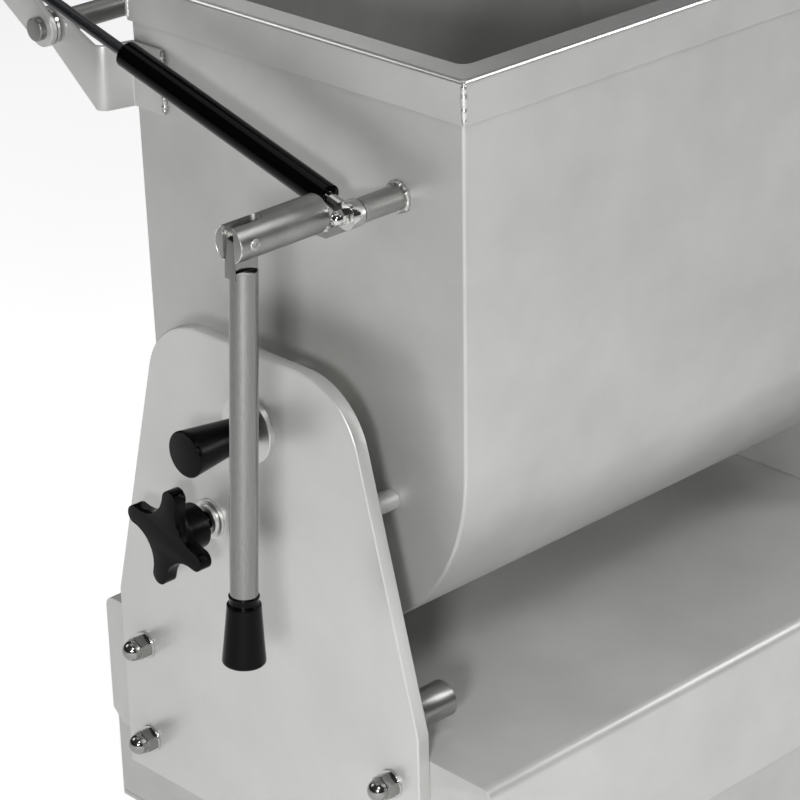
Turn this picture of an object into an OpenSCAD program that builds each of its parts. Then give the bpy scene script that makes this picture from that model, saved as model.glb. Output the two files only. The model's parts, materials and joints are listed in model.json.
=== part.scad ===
// Tilting meat mixer with a stainless steel tank of about fifty litres.
// The tank hangs between a side plate and a drive column on one long base.
// A folding handle tips it forward, and a gas strut holds the hinged lid open.
//
// Working frame of the modules: X = 0 is the outside of the tank's free end, +X runs
// to the drive column, Y = 0 is the plane of the tilt axis, +Y is the back, and
// Z = 0 is the floor. at_origin() then moves the origin to the middle of the footprint.

/* [Tank] */
// Outer length of the tank
tank_l = 432; // [380:1:520]
// Outer width of the tank under its rim
tank_w = 311; // [300:1:330]
// How much narrower than its mouth the tank is at its round bottom, on each side
bowl_in = 4; // [1:0.5:10]
// Height of the tilt axis above the floor
axis_z = 427.5; // [415:0.5:470]
// Height of the rim's top above the tilt axis
tank_up = 260; // [230:1:300]
// Thickness of the tank's sheet
tank_t = 2.5; // [1.5:0.1:4]
// Width of the rim's top face
rim_w = 21; // [14:0.5:30]
// Height of the rim's outer face
rim_h = 28.5; // [18:0.5:40]
// Thickness of the rim's sheet
rim_t = 2; // [1:0.1:3]

/* [Side plate] */
// Thickness of the side plate
plate_t = 10; // [6:0.5:14]
// Gap between the tank and the side plate
plate_gap = 36; // [32:0.5:44]
// Height of the side plate's top above the tilt axis
plate_up = 54; // [44:1:70]
// Half the width of the side plate below its taper
plate_half = 150; // [140:1:160]
// Height of the side plate's shoulders above the floor
shoulder_z = 255.5; // [250:0.5:275]
// Lean of the side plate's edges in degrees
plate_lean = 14.6; // [10:0.1:18]
// Radius of the side plate's top corners
plate_r = 53; // [30:1:56]
// Height of the side plate's lower edge above the floor
plate_z = 115.5; // [100:0.5:125]

/* [Base] */
// Height of the base's top above the floor
base_z = 235; // [220:1:245]
// Distance from the tilt axis to the front of the base
base_front = 205; // [190:1:230]
// Distance from the tilt axis to the back of the base
base_back = 180.5; // [170:0.5:210]
// Height of the cover's skirt
skirt_h = 100; // [90:1:110]
// Thickness of the cover's sheet
cover_t = 2; // [1:0.1:3]
// Radius of the bends along the cover's front and back edges
cover_r = 8; // [4:0.5:14]
// Size of the slanted cut at the skirt's lower corners
notch = 9; // [4:0.5:16]
// Thickness of the chassis walls
chassis_t = 3; // [2:0.5:5]
// Height of the chassis's lower edge above the floor
chassis_z = 70; // [64:1:90]
// Diameter of a rubber foot
foot_d = 52; // [40:1:64]
// Height of a rubber foot
foot_h = 34; // [24:1:44]

/* [Drive column] */
// Gap between the tank and the drive column
col_gap = 14.5; // [13:0.5:20]
// Length of the column along the machine
col_l = 205; // [195:1:260]
// Width of the column across the machine
col_w = 230; // [210:1:280]
// Height of the column's top above the tilt axis
col_up = 220; // [200:1:235]
// Thickness of the column's sheet
col_t = 2; // [1.5:0.1:3]
// Diameter of the gearmotor's output shaft
drive_d = 35; // [30:1:38]
// Outer diameter of the hollow trunnion on the drive side
trunnion_d = 70; // [64:1:80]

/* [Tilt handle] */
// Diameter of the post welded to the tank
post_d = 16; // [14:0.5:18]
// Distance of the post in front of the tilt axis
post_y = 97.6; // [90:0.2:110]
// Height of the post above the tilt axis
post_up = 172; // [160:0.5:185]
// Diameter of the handle's socket bar
socket_d = 25; // [23:0.5:28]
// Distance from the tank to the outer end of the socket bar
socket_end = 121.5; // [116:0.5:140]
// Distance from the tank to the arm's pin
pin_x = 111; // [106:0.5:112]
// Diameter of the arm's pin
pin_d = 8; // [6:0.5:9]
// Diameter of the folding arm
arm_d = 18; // [15:0.5:19]
// Length of the arm from its pin to its grip
arm_l = 233; // [180:1:280]
// Angle at which the arm hangs away from the plate, in degrees
arm_hang = 3.4; // [0:0.1:6]
// How far the arm stands in front of its tongue's middle
arm_front = 2; // [0:0.5:3]
// Thickness of the arm's tongue
tongue_t = 9.8; // [8:0.1:11]
// Diameter at the grip's lower end
grip_d = 28.5; // [24:0.5:34]
// Length of the grip
grip_l = 48; // [36:1:70]

/* [Lid] */
// Distance of the lid's hinge behind the tilt axis
hinge_y = 207.5; // [204:0.5:215]
// Height of the lid's hinge above the tilt axis
hinge_up = 223; // [218:0.5:228]
// Diameter of the hinge rod
rod_d = 16; // [12:0.5:18]
// Angle of the open lid from closed, in degrees
open_a = 105; // [95:1:110]
// Thickness of the lid's sheet
lid_t = 2; // [1:0.1:3]
// Height of the lid's skirt
lid_h = 20; // [12:0.5:24]

/* [Gas strut] */
// Diameter of the strut's tube
tube_d = 18; // [15:0.5:18]
// Length of the strut's tube
tube_l = 194; // [170:1:200]
// Diameter of the strut's piston rod
piston_d = 8; // [6:0.5:9]
// Thickness of the strut's eyes
eye_t = 10; // [8:0.5:10]
// Outer diameter of the strut's eyes
eye_d = 18; // [16:0.5:18.5]
// Diameter of the strut's studs
stud_d = 6; // [5:0.5:8]
// Distance of the open lid's strut stud behind the hinge
lug_y = 51; // [45:0.5:56]
// Height of the open lid's strut stud above the hinge
lug_up = 45; // [40:0.5:50]

/* [Knobs] */
// Outer radius of the star knob
star_r = 37.5; // [34:0.5:42]
// Thickness of the star knob's lobes
star_t = 9.7; // [8:0.1:14]
// Distance of the star knob behind the tilt axis
star_y = 45.2; // [38:0.2:52]
// Distance of the star knob below the tilt axis
star_down = 81; // [70:0.5:86]
// Diameter of the star knob's hub
star_hub_d = 34; // [28:0.5:38]
// Diameter of the clamp stud
clamp_d = 12; // [10:0.5:14]
// Length of the shaft release knob
pull_l = 51.5; // [36:0.5:60]
// Diameter of the release knob's outer end
pull_d = 32; // [26:0.5:36]
// Diameter of the pin that carries the mixing shaft
carrier_d = 20; // [16:0.5:24]
// Diameter of the free trunnion
stub_d = 47; // [40:0.5:50]

/* [Mixing shaft] */
// Diameter of the mixing shaft
mix_d = 32; // [28:1:38]
// Gap between the paddles and the round bottom
paddle_gap = 6; // [4:0.5:20]
// Width of a paddle blade
blade_w = 74; // [50:1:84]
// Height of a paddle blade
blade_h = 46; // [30:1:56]
// Thickness of a paddle blade
blade_t = 6; // [4:0.5:9]
// Pitch of the blades against the shaft, in degrees
blade_a = 40; // [20:1:50]

/* [Fasteners] */
// Diameter of the side plate's studs
bolt_d = 10; // [8:0.5:12]
// Half the distance between the studs across the plate
bolt_y = 124.5; // [110:0.5:130]
// Height of the upper studs above the floor
bolt_z = 220; // [205:0.5:222]
// Distance between the upper and the lower studs
bolt_pitch = 75.5; // [50:0.5:80]
// How much lower the upper stud at the front is than the one at the back
bolt_drop = 7.5; // [0:0.5:12]

/* [Hidden] */

// Faces per circle on turned parts, and on small ones
$fn = 64;
small_fn = 32;
bowl_fn = 128;
// Overrun of every cut
cut = 1;
// Radial running fit, fit of a swinging tongue and gap between bodies that pass
run_fit = 0.05;
side_fit = 0.1;
air = 0.3;

// Places along the machine
plate_x = -plate_gap;
plate_out = plate_x - plate_t;
col_x = tank_l + col_gap;
col_end = col_x + col_l;
base_l = col_end - plate_x;
rim_z = axis_z + tank_up;
col_z = axis_z + col_up;
hinge_z = axis_z + hinge_up;
half_w = tank_w / 2;
bowl_r = half_w - bowl_in;
wall_lean = asin(bowl_in / tank_up);
paddle_r = bowl_r - tank_t - paddle_gap;

// Handle, in the tank's upright position
post_z = axis_z + post_up;
eye_x = -34;
washer_t = 2;
eye_in = eye_x - washer_t;
eye_out = eye_in - eye_t;
strut_x = (eye_in + eye_out) / 2;
socket_back = 20.2;
socket_low = 1.5;
socket_x = -51;
socket_y = socket_back - post_y;
socket_z = post_z - socket_low;
slot_l = 25.5;
slot_w = tongue_t + 2 * side_fit;
tongue_l = 18.5;
collar_l = 6;
collar_d = 21.3;
grip_neck_d = 21.3;
tongue_share = 1.16;
spigot_share = 0.7;
lug_t = 6;
strap_y = 12;
strap_w = 12;
strap_drop = 10.2;

// Lid, drawn closed and turned open about its hinge
lid_gap = 0.5;
skirt_gap = 3;
lid_x = rim_t + skirt_gap + lid_t;
lid_half = half_w + lid_x;
lid_z = rim_z + lid_gap;
lid_arm_t = 5;
lid_arm_x = eye_in + air;
rod_end = 41;
rear_arm_x = 384;
rear_bracket_x = 396;
bracket_t = 3;
bow_r = 5;
bow_reach = 34;
bow_half = 70;
bow_bend = 14;
bow_y = -lid_half - bow_reach;
bow_z = lid_z + lid_t - lid_h / 2;
pivot_boss = 14;
rod_boss = 13;
lid_arm_front = 90;
collar_share = 1.6;
// Corners of the brackets and lid arms, as shares of the boss round the rod
boss_shares = [0.4, 0.55, 0.75, 0.9];
pivot_share = 0.7;
// Bracket on the near end wall: its flange, its bent leg and their heights round the rod
flange_w = 29;
step_y = 6;
leg_reach = 26;
bend_r = 8;
bend_n = 6;
bracket_low = 50;
bracket_high = 5;
// Where the strut's stud lies on the closed lid
stud_y = hinge_y + lug_y * cos(open_a) - lug_up * sin(open_a);
stud_z = hinge_z + lug_y * sin(open_a) + lug_up * cos(open_a);

// Where the strut's stud lies beside the open lid
strut_dy = hinge_y + lug_y + post_y;
strut_dz = hinge_z + lug_up - post_z;
strut_l = sqrt(pow(strut_dy, 2) + pow(strut_dz, 2));
strut_a = atan2(strut_dz, strut_dy);
tube_start = 20.5;
neck_share = 0.96;
neck_start_share = 0.42;
piston_gap = 0.1;
piston_head_share = 0.66;
piston_in = 130;

// Footprint, from the hanging grip to the column and from the base to the open lid
reach_x = pin_x + (arm_l + grip_l) * sin(arm_hang) + grip_d / 2 * cos(arm_hang);
bow_dy = bow_y - hinge_y;
bow_dz = bow_z - hinge_z;
reach_y = hinge_y + bow_dy * cos(open_a) + bow_dz * sin(open_a) + bow_r;
col_skin = 2;
org_x = (col_end + col_skin - reach_x) / 2;
org_y = (reach_y - base_front) / 2;

// Feet, their studs and the floor sheet that they carry
foot_inset = 60;
foot_stud_d = 12;
floor_t = 4;
// Half outline of a foot, as shares of its radius and height
foot_shares = [[0, 0], [0.94, 0], [1, 0.1], [1, 0.3], [0.7, 0.62], [0.62, 1], [0, 1]];
chassis_in = cover_t + air;
bolt_in = chassis_in + 2 * chassis_t;

// Way for the cables from the base up into the column
cable_l = 40;
cable_w = 120;
cable_x = col_end - 2 * cable_l;

// Fastener sizes as shares of the thread
nut_af_share = 1.58;
nut_hex_share = 0.83;
nut_dome_share = 0.72;
nut_neck_share = 0.94;
washer_share = 2;
washer_t_share = 0.2;

// Star knob outline: four lobes joined by tangent hollows
lobes = 4;
lobe_r_share = 0.175;
valley_share = 0.49;
star_turn_a = 13.5;
hub_taper_share = 0.94;
lobe_r = star_r * lobe_r_share;
lobe_at = star_r - lobe_r;
valley = star_r * valley_share;
half_step = 180 / lobes;
hollow_r = (pow(lobe_at, 2) + pow(valley, 2) - 2 * lobe_at * valley * cos(half_step) - pow(lobe_r, 2))
    / (2 * (lobe_r + lobe_at * cos(half_step) - valley));
hollow_at = valley + hollow_r;
meet_a = atan2(hollow_at * sin(half_step), hollow_at * cos(half_step) - lobe_at);
lobe_n = 12;
hollow_n = 8;
star_out = 41;
star_hub_l = 27.5;
washer_d_shares = [2.35, 1.75];
washer_h_share = 0.2;
star_x = plate_out - star_out;

// Lock quadrant behind the side plate
quad_t = 6;
quad_gap = 2;
quad_half = 14;
quad_a = 96;
quad_spare_a = 10;
clamp_at = sqrt(pow(star_y, 2) + pow(star_down, 2));
clamp_dir = atan2(-star_down, star_y);
leg_d = 14;
leg_shares = [0.1, 0.5, 0.9];

// Pins and trunnions on the tilt axis
disc_t = 4;
stub_flange_d = 62;
stub_flange_t = 6;
lip_t = 3;
bush_wall = 3.5;
bush_flange = 6;
bush_flange_t = 2;
carrier_in = 34;
pull_share = 0.62;
shank_share = 0.6;
shaft_near = 6;
drive_flange_d = 120;
drive_flange_t = 6;
seal_w = 6;
drive_bore = drive_d + 2 * seal_w;
bearing_plate_t = 12;
drive_bush_wall = 5;
trunnion_out = 24;
tongue_deep = 16;
drive_tongue_t = 14;
hub_d = 54;
hub_l = 26;
shaft_far = 2;
seal_t = 8;
carrier_hub_share = 2.2;

// Stop pin
stop_d = 25;
stop_y = -132.5;
stop_z = 262.8;
stop_tip = 5;

// Paddles
paddle_n = 4;
paddle_step_a = 90;
paddle_first_a = 45;
paddle_rod_d = 18;
paddle_margin = 62;
paddle_pitch = (tank_l - 2 * paddle_margin) / (paddle_n - 1);

// Control panel
panel_w = 120;
panel_h = 150;
panel_t = 3;
panel_top = 26;
button_d = 22;
button_h = 6;
bezel_d = 29;
bezel_h = 4;
button_step = 42;
reverse_share = 1.5;
mushroom_d = 38;
mushroom_h = 12;
mushroom_neck = 10;
button_back = 14;
button_x = col_x + col_l / 2;
button_z = col_z - panel_top - panel_h / 2;
button_at = [button_step / 2, -button_step / 2, -button_step * reverse_share];

// Cable gland at the back of the base
gland_d = 20;
gland_hex = 27;
gland_l = 22;
gland_in = 60;
gland_up = 30;
hex_l_share = 0.3;
cap_shares = [0.95, 0.6];
cord_share = 0.5;
gland_x = col_end - gland_in;
gland_z = chassis_z + gland_up;

// Gearmotor
gear_l = 96;
gear_w = 120;
gear_h = 130;
gear_r = 18;
gear_gap = 18;
nose_d = 110;
nose_bore = trunnion_d + 4 * air;
seat_share = 0.8;
shaft_end_share = 0.7;
motor_d = 120;
motor_l = 118;
fin_n = 24;
fin_h = 5;
fin_w = 3;
cowl_l = 20;
cowl_share = 0.9;
motor_x = col_end - motor_d / 2 - fin_h - 2 * col_t;
motor_z = axis_z + gear_h / 3;

// Switch box
switch_l = 90;
switch_w = 34;
switch_h = 150;

module at_origin() {
    translate([-org_x, -org_y, 0])
        children();
}

// Turned part along +X from a place on the axis through y and z
module rod_x(x, y, z, d, l) {
    translate([x, y, z])
        rotate([0, 90, 0])
            cylinder(d = d, h = l);
}

// Plate of thickness t standing at x, from an outline drawn in Y and Z
module slab_x(x, t) {
    translate([x, 0, 0])
        rotate([90, 0, 90])
            linear_extrude(t)
                children();
}

// Upright plate whose outline is drawn in X and Z, starting at y and going back
module slab_y(y, t) {
    translate([0, y + t, 0])
        rotate([90, 0, 0])
            linear_extrude(t)
                children();
}

// Rectangle with round corners made of true arcs
module round_rect(w, h, r) {
    square([w - 2 * r, h], center = true);
    square([w, h - 2 * r], center = true);
    for (sx = [-1, 1], sy = [-1, 1])
        translate([sx * (w / 2 - r), sy * (h / 2 - r)])
            circle(r = r, $fn = small_fn);
}

// Points of an arc about a centre, without its first one
function arc(centre, r, from, to, n) =
    [for (i = [1 : n]) let (a = from + (to - from) * i / n) centre + r * [cos(a), sin(a)]];

// Places of the four side plate studs
module at_bolts() {
    for (p = [[-bolt_y, bolt_z - bolt_pitch], [-bolt_y, bolt_z - bolt_drop],
            [bolt_y, bolt_z - bolt_pitch], [bolt_y, bolt_z]])
        translate([0, p[0], p[1]])
            children();
}

// Acorn nut for a thread of diameter d, its base at x = 0 and its dome toward -X
module acorn_nut(d) {
    rotate([0, -90, 0])
        difference() {
            union() {
                intersection() {
                    cylinder(d = d * nut_af_share / cos(30), h = d * nut_hex_share, $fn = 6);
                    translate([0, 0, -d])
                        sphere(r = d * sqrt(pow(1 + nut_hex_share, 2) + pow(nut_af_share / 2, 2)));
                }
                cylinder(d = d * nut_af_share * nut_neck_share, h = d * nut_hex_share + d * nut_dome_share / 4);
                translate([0, 0, d * nut_hex_share + d * nut_dome_share / 4])
                    intersection() {
                        sphere(d = d * nut_af_share * nut_neck_share);
                        cylinder(d = 2 * d, h = 2 * d);
                    }
            }
            translate([0, 0, -cut])
                cylinder(d = d, h = d * nut_hex_share + cut);
        }
}

// Flat washer for a thread of diameter d, from x = 0 toward -X
module flat_washer(d, t) {
    rotate([0, -90, 0])
        difference() {
            cylinder(d = d * washer_share, h = t);
            translate([0, 0, -cut])
                cylinder(d = d, h = t + 2 * cut);
        }
}

// Cross-section of the tank in Y and Z, drawn inward by a wall
module tank_section(wall) {
    r = bowl_r - wall;
    top = half_w - wall / cos(wall_lean);
    translate([0, axis_z]) {
        circle(r = r, $fn = bowl_fn);
        polygon([[-r * cos(wall_lean), -r * sin(wall_lean)], [r * cos(wall_lean), -r * sin(wall_lean)],
            [top, tank_up], [-top, tank_up]]);
    }
}

module tank_shell() {
    color("silver")
        at_origin()
            difference() {
                slab_x(0, tank_l)
                    tank_section(0);
                slab_x(tank_t, tank_l - 2 * tank_t)
                    tank_section(tank_t);
                translate([-cut, -tank_w, rim_z - rim_t])
                    cube([tank_l + 2 * cut, 2 * tank_w, rim_h]);
                rod_x(-cut, 0, axis_z, carrier_d + 2 * run_fit, tank_t + 2 * cut);
                rod_x(tank_l - tank_t - cut, 0, axis_z, drive_bore, tank_t + 2 * cut);
            }
}

module tank_rim() {
    l = tank_l + 2 * rim_t;
    w = tank_w + 2 * rim_t;
    color("silver")
        at_origin()
            translate([tank_l / 2, 0, rim_z])
                difference() {
                    translate([0, 0, -rim_h])
                        linear_extrude(rim_h)
                            round_rect(l, w, rim_t * 2);
                    translate([0, 0, -rim_h - cut])
                        linear_extrude(rim_h - rim_t + cut)
                            square([tank_l, tank_w], center = true);
                    translate([0, 0, -rim_h])
                        linear_extrude(rim_h + cut)
                            round_rect(l - 2 * rim_w, w - 2 * rim_w, rim_t * 4);
                }
}

module stub_trunnion() {
    color("gainsboro")
        at_origin()
            difference() {
                union() {
                    rod_x(-stub_flange_t, 0, axis_z, stub_flange_d, stub_flange_t);
                    rod_x(plate_out - disc_t, 0, axis_z, stub_d, plate_gap + plate_t + disc_t);
                }
                rod_x(plate_out - disc_t - cut, 0, axis_z, carrier_d + 2 * run_fit,
                    plate_gap + plate_t + disc_t + 2 * cut);
            }
}

module drive_trunnion() {
    color("gainsboro")
        at_origin()
            difference() {
                union() {
                    rod_x(tank_l, 0, axis_z, drive_flange_d, drive_flange_t);
                    rod_x(tank_l, 0, axis_z, trunnion_d, col_gap + trunnion_out);
                }
                rod_x(tank_l - cut, 0, axis_z, drive_bore, col_gap + trunnion_out + 2 * cut);
            }
}

module stub_bush() {
    color("ivory")
        at_origin()
            difference() {
                union() {
                    rod_x(plate_x - plate_t + lip_t, 0, axis_z, stub_d + 2 * bush_wall, plate_t - lip_t);
                    rod_x(plate_x, 0, axis_z, stub_d + 2 * bush_wall + 2 * bush_flange, bush_flange_t);
                }
                rod_x(plate_out - cut, 0, axis_z, stub_d + 2 * run_fit, plate_t + bush_flange_t + 2 * cut);
            }
}

module drive_bush() {
    color("ivory")
        at_origin()
            difference() {
                rod_x(col_x + col_t, 0, axis_z, trunnion_d + 2 * drive_bush_wall, bearing_plate_t);
                rod_x(col_x, 0, axis_z, trunnion_d + 2 * run_fit, bearing_plate_t + col_t + cut);
            }
}

// The arc that the clamp stud presses on, welded to the tank on three legs
module lock_quadrant() {
    quad_x = plate_x + quad_gap;
    from = clamp_dir - quad_a - quad_spare_a;
    span = quad_a + 2 * quad_spare_a;
    color("silver")
        at_origin() {
            translate([quad_x, 0, axis_z])
                rotate([90, 0, 90])
                    rotate([0, 0, from])
                        rotate_extrude(angle = span)
                            translate([clamp_at - quad_half, 0])
                                square([2 * quad_half, quad_t]);
            for (s = leg_shares)
                rod_x(quad_x + quad_t, clamp_at * cos(from + span * s),
                    axis_z + clamp_at * sin(from + span * s), leg_d, -quad_x - quad_t);
        }
}

// Outline of the side plate: a tapered shield with two large top corners
module plate_outline() {
    corner_z = axis_z + plate_up - plate_r;
    corner_y = plate_half - (corner_z - shoulder_z) * tan(plate_lean) - plate_r / cos(plate_lean);
    tan_y = corner_y + plate_r * cos(plate_lean);
    tan_z = corner_z + plate_r * sin(plate_lean);
    polygon([[-plate_half, plate_z], [plate_half, plate_z], [plate_half, shoulder_z], [tan_y, tan_z],
        [corner_y, corner_z + plate_r], [-corner_y, corner_z + plate_r], [-tan_y, tan_z],
        [-plate_half, shoulder_z]]);
    for (s = [-1, 1])
        translate([s * corner_y, corner_z])
            circle(r = plate_r);
}

module side_plate() {
    color("silver")
        at_origin()
            difference() {
                slab_x(plate_out, plate_t)
                    plate_outline();
                rod_x(plate_out - cut, 0, axis_z, stub_d + 2 * air, plate_t + 2 * cut);
                rod_x(plate_out + lip_t, 0, axis_z, stub_d + 2 * bush_wall, plate_t);
                rod_x(plate_out - cut, star_y, axis_z - star_down, clamp_d + 2 * run_fit, plate_t + 2 * cut);
                at_bolts()
                    rod_x(plate_out - cut, 0, 0, bolt_d, plate_t + 2 * cut);
                rod_x(plate_x - plate_t / 2, stop_y, stop_z, stop_d / 2, plate_t);
            }
}

module plate_studs() {
    color("silver")
        at_origin()
            at_bolts()
                rod_x(plate_out - bolt_d * (washer_t_share + nut_hex_share), 0, 0, bolt_d,
                    plate_t + bolt_in + bolt_d * (washer_t_share + nut_hex_share));
}

module plate_washers() {
    color("gainsboro")
        at_origin()
            at_bolts()
                translate([plate_out, 0, 0])
                    flat_washer(bolt_d, bolt_d * washer_t_share);
}

module plate_nuts() {
    color("gainsboro")
        at_origin()
            at_bolts()
                translate([plate_out - bolt_d * washer_t_share, 0, 0])
                    acorn_nut(bolt_d);
}

module stop_pin() {
    color("gainsboro")
        at_origin() {
            rod_x(plate_x, stop_y, stop_z, stop_d, plate_gap - stop_tip);
            rod_x(plate_x - plate_t / 2, stop_y, stop_z, stop_d / 2, plate_t / 2);
        }
}

// Folded cover with rounded long edges, open below, its lower corners cut slanting
module base_cover() {
    color("silver")
        at_origin()
            difference() {
                union() {
                    slab_x(plate_x, base_l)
                        difference() {
                            cover_outline(0);
                            cover_outline(cover_t);
                        }
                    for (x = [plate_x, col_end - cover_t])
                        slab_x(x, cover_t)
                            cover_outline(cover_t);
                }
                at_bolts()
                    rod_x(plate_x - cut, 0, 0, bolt_d, cover_t + 2 * cut);
                translate([cable_x, -cable_w / 2, base_z - cover_t - cut])
                    cube([cable_l, cable_w, cover_t + 2 * cut]);
                for (x = [plate_x - cut, col_end - notch], y = [-base_front, base_back])
                    slab_x(x, notch + cut)
                        translate([y, base_z - skirt_h])
                            rotate(45)
                                square(notch * sqrt(2), center = true);
            }
}

// Cross-section of the cover in Y and Z, drawn inward by a wall
module cover_outline(wall) {
    r = cover_r - wall;
    low = base_z - skirt_h - (wall > 0 ? cut : 0);
    high = base_z - wall;
    front = -base_front + wall;
    back = base_back - wall;
    for (y = [front + r, back - r])
        translate([y, high - r])
            circle(r = r, $fn = small_fn);
    polygon([[front, high - r], [front, low], [back, low], [back, high - r], [back - r, high - r],
        [back - r, high], [front + r, high], [front + r, high - r]]);
}

// Folded chassis under the cover, open below where the floor sheet closes it
module base_chassis() {
    w = base_front + base_back - 2 * chassis_in;
    top = base_z - cover_t - air;
    low = chassis_z + floor_t;
    color("darkgray")
        at_origin()
            difference() {
                slab_x(plate_x + chassis_in, base_l - 2 * chassis_in)
                    polygon([[-base_front + chassis_in, low], [-base_front + chassis_in, top - cover_r],
                        [-base_front + chassis_in + cover_r, top], [base_back - chassis_in - cover_r, top],
                        [base_back - chassis_in, top - cover_r], [base_back - chassis_in, low]]);
                translate([plate_x + chassis_in + chassis_t, -base_front + chassis_in + chassis_t, low - cut])
                    cube([base_l - 2 * chassis_in - 2 * chassis_t, w - 2 * chassis_t,
                        top - cover_r - chassis_t - low + cut]);
                at_bolts()
                    rod_x(plate_x, 0, 0, bolt_d, bolt_in + cut);
                translate([cable_x, -cable_w / 2, top - 2 * cover_r - chassis_t])
                    cube([cable_l, cable_w, 3 * cover_r]);
                translate([gland_x, base_back - chassis_in - chassis_t - cut, gland_z])
                    rotate([-90, 0, 0])
                        cylinder(d = gland_d, h = chassis_t + 2 * cut);
            }
}

// Sheet that closes the chassis and carries the feet
module base_floor() {
    w = base_front + base_back - 2 * chassis_in;
    color("darkgray")
        at_origin()
            difference() {
                translate([plate_x + chassis_in, -base_front + chassis_in, chassis_z])
                    cube([base_l - 2 * chassis_in, w, floor_t]);
                at_feet()
                    translate([0, 0, chassis_z - cut])
                        cylinder(d = foot_stud_d, h = floor_t + 2 * cut);
            }
}

module at_feet() {
    w = base_front + base_back;
    for (sx = [-1, 1], sy = [-1, 1])
        translate([plate_x + base_l / 2 + sx * (base_l / 2 - foot_inset),
            (base_back - base_front) / 2 + sy * (w / 2 - foot_inset), 0])
            children();
}

module feet() {
    color("dimgray")
        at_origin()
            at_feet()
                difference() {
                    rotate_extrude()
                        polygon([for (p = foot_shares) [foot_d / 2 * p[0], foot_h * p[1]]]);
                    translate([0, 0, foot_h / 2])
                        cylinder(d = foot_stud_d, h = foot_h);
                }
}

module foot_studs() {
    color("silver")
        at_origin()
            at_feet() {
                translate([0, 0, foot_h / 2])
                    cylinder(d = foot_stud_d, h = chassis_z + floor_t + foot_stud_d * 2 - foot_h / 2);
                translate([0, 0, chassis_z - foot_stud_d * nut_hex_share])
                    cylinder(d = foot_stud_d * nut_af_share / cos(30), h = foot_stud_d * nut_hex_share,
                        $fn = 6);
            }
}

module column_shell() {
    color("silver")
        at_origin()
            difference() {
                translate([col_x, 0, base_z])
                    translate([col_l / 2, 0, 0])
                        linear_extrude(col_z - base_z)
                            union() {
                                round_rect(col_l, col_w, col_t * 3);
                                translate([col_l / 4, 0])
                                    square([col_l / 2, col_w], center = true);
                            }
                translate([col_x + col_t, -col_w / 2 + col_t, base_z - cut])
                    cube([col_l, col_w - 2 * col_t, col_z - base_z - col_t + cut]);
                rod_x(col_x - cut, 0, axis_z, trunnion_d + 4 * air, col_t + 2 * cut);
                for (z = button_at)
                    translate([button_x, -col_w / 2 - cut, button_z + z])
                        rotate([-90, 0, 0])
                            cylinder(d = button_d + 2 * air, h = col_t + 2 * cut);
            }
}

module column_cover() {
    color("silver")
        at_origin()
            slab_x(col_end, col_skin)
                translate([0, (base_z + col_z) / 2])
                    round_rect(col_w, col_z - base_z, col_t * 2);
}

module bearing_plate() {
    color("darkgray")
        at_origin()
            difference() {
                translate([col_x + col_t, -col_w / 2 + 2 * col_t, base_z])
                    cube([bearing_plate_t, col_w - 4 * col_t, axis_z - base_z + trunnion_d]);
                rod_x(col_x, 0, axis_z, trunnion_d + 2 * drive_bush_wall, bearing_plate_t + 2 * col_t);
            }
}

module gearbox() {
    gx = col_x + col_t + bearing_plate_t + gear_gap;
    color("slategray")
        at_origin()
            difference() {
                union() {
                    translate([gx, 0, axis_z - gear_h / 6])
                        rotate([90, 0, 90])
                            linear_extrude(gear_l)
                                round_rect(gear_w, gear_h, gear_r);
                    rod_x(gx - gear_gap, 0, axis_z, nose_d, gear_gap);
                    translate([gx + gear_l / 4, -gear_w / 2, base_z])
                        cube([gear_l / 2, gear_w, axis_z - base_z - gear_h / 2]);
                }
                rod_x(gx - gear_gap - cut, 0, axis_z, nose_bore, gear_gap);
                rod_x(gx - gear_gap, 0, axis_z, drive_d + 2 * run_fit, gear_gap + gear_l * seat_share);
            }
}

// Motor standing on end on the gearbox
module motor() {
    color("slategray")
        at_origin()
            translate([motor_x, 0, motor_z]) {
                cylinder(d = motor_d - 2 * fin_h, h = motor_l);
                for (i = [0 : fin_n - 1])
                    rotate(i * 360 / fin_n)
                        translate([0, -fin_w / 2, 0])
                            cube([motor_d / 2, fin_w, motor_l]);
            }
}

module fan_cowl() {
    color("dimgray")
        at_origin()
            translate([motor_x, 0, motor_z + motor_l])
                cylinder(d1 = motor_d, d2 = motor_d * cowl_share, h = cowl_l);
}

module switch_box() {
    color("lightgray")
        at_origin()
            translate([col_x + col_t + bearing_plate_t + air, col_w / 2 - col_t - switch_w, base_z])
                cube([switch_l, switch_w, switch_h]);
}

module cable_gland() {
    color("dimgray")
        at_origin()
            translate([gland_x, base_back - chassis_in - chassis_t, gland_z])
                rotate([-90, 0, 0])
                    difference() {
                        union() {
                            cylinder(d = gland_d, h = chassis_t);
                            translate([0, 0, chassis_t])
                                cylinder(d = gland_hex / cos(30), h = gland_l * hex_l_share, $fn = 6);
                            translate([0, 0, chassis_t + gland_l * hex_l_share])
                                cylinder(d1 = gland_hex * cap_shares[0], d2 = gland_hex * cap_shares[1],
                                    h = gland_l * (1 - hex_l_share));
                        }
                        translate([0, 0, -cut])
                            cylinder(d = gland_d * cord_share, h = gland_l + chassis_t + 2 * cut);
                    }
}

module control_panel() {
    color("dimgray")
        at_origin()
            difference() {
                slab_y(-col_w / 2 - panel_t, panel_t)
                    translate([button_x, button_z])
                        round_rect(panel_w, panel_h, panel_t * 2);
                for (z = button_at)
                    translate([button_x, -col_w / 2 - panel_t - cut, button_z + z])
                        rotate([-90, 0, 0])
                            cylinder(d = button_d + 2 * air, h = panel_t + 2 * cut);
            }
}

// Button plunger of diameter d whose cap stands out of the panel by h
module plunger(z, d, h) {
    translate([button_x, -col_w / 2 - panel_t - h, button_z + z])
        rotate([-90, 0, 0])
            cylinder(d = d, h = h + panel_t + button_back);
}

module forward_button() {
    color("green")
        at_origin()
            plunger(-button_step / 2, button_d, button_h);
}

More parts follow.
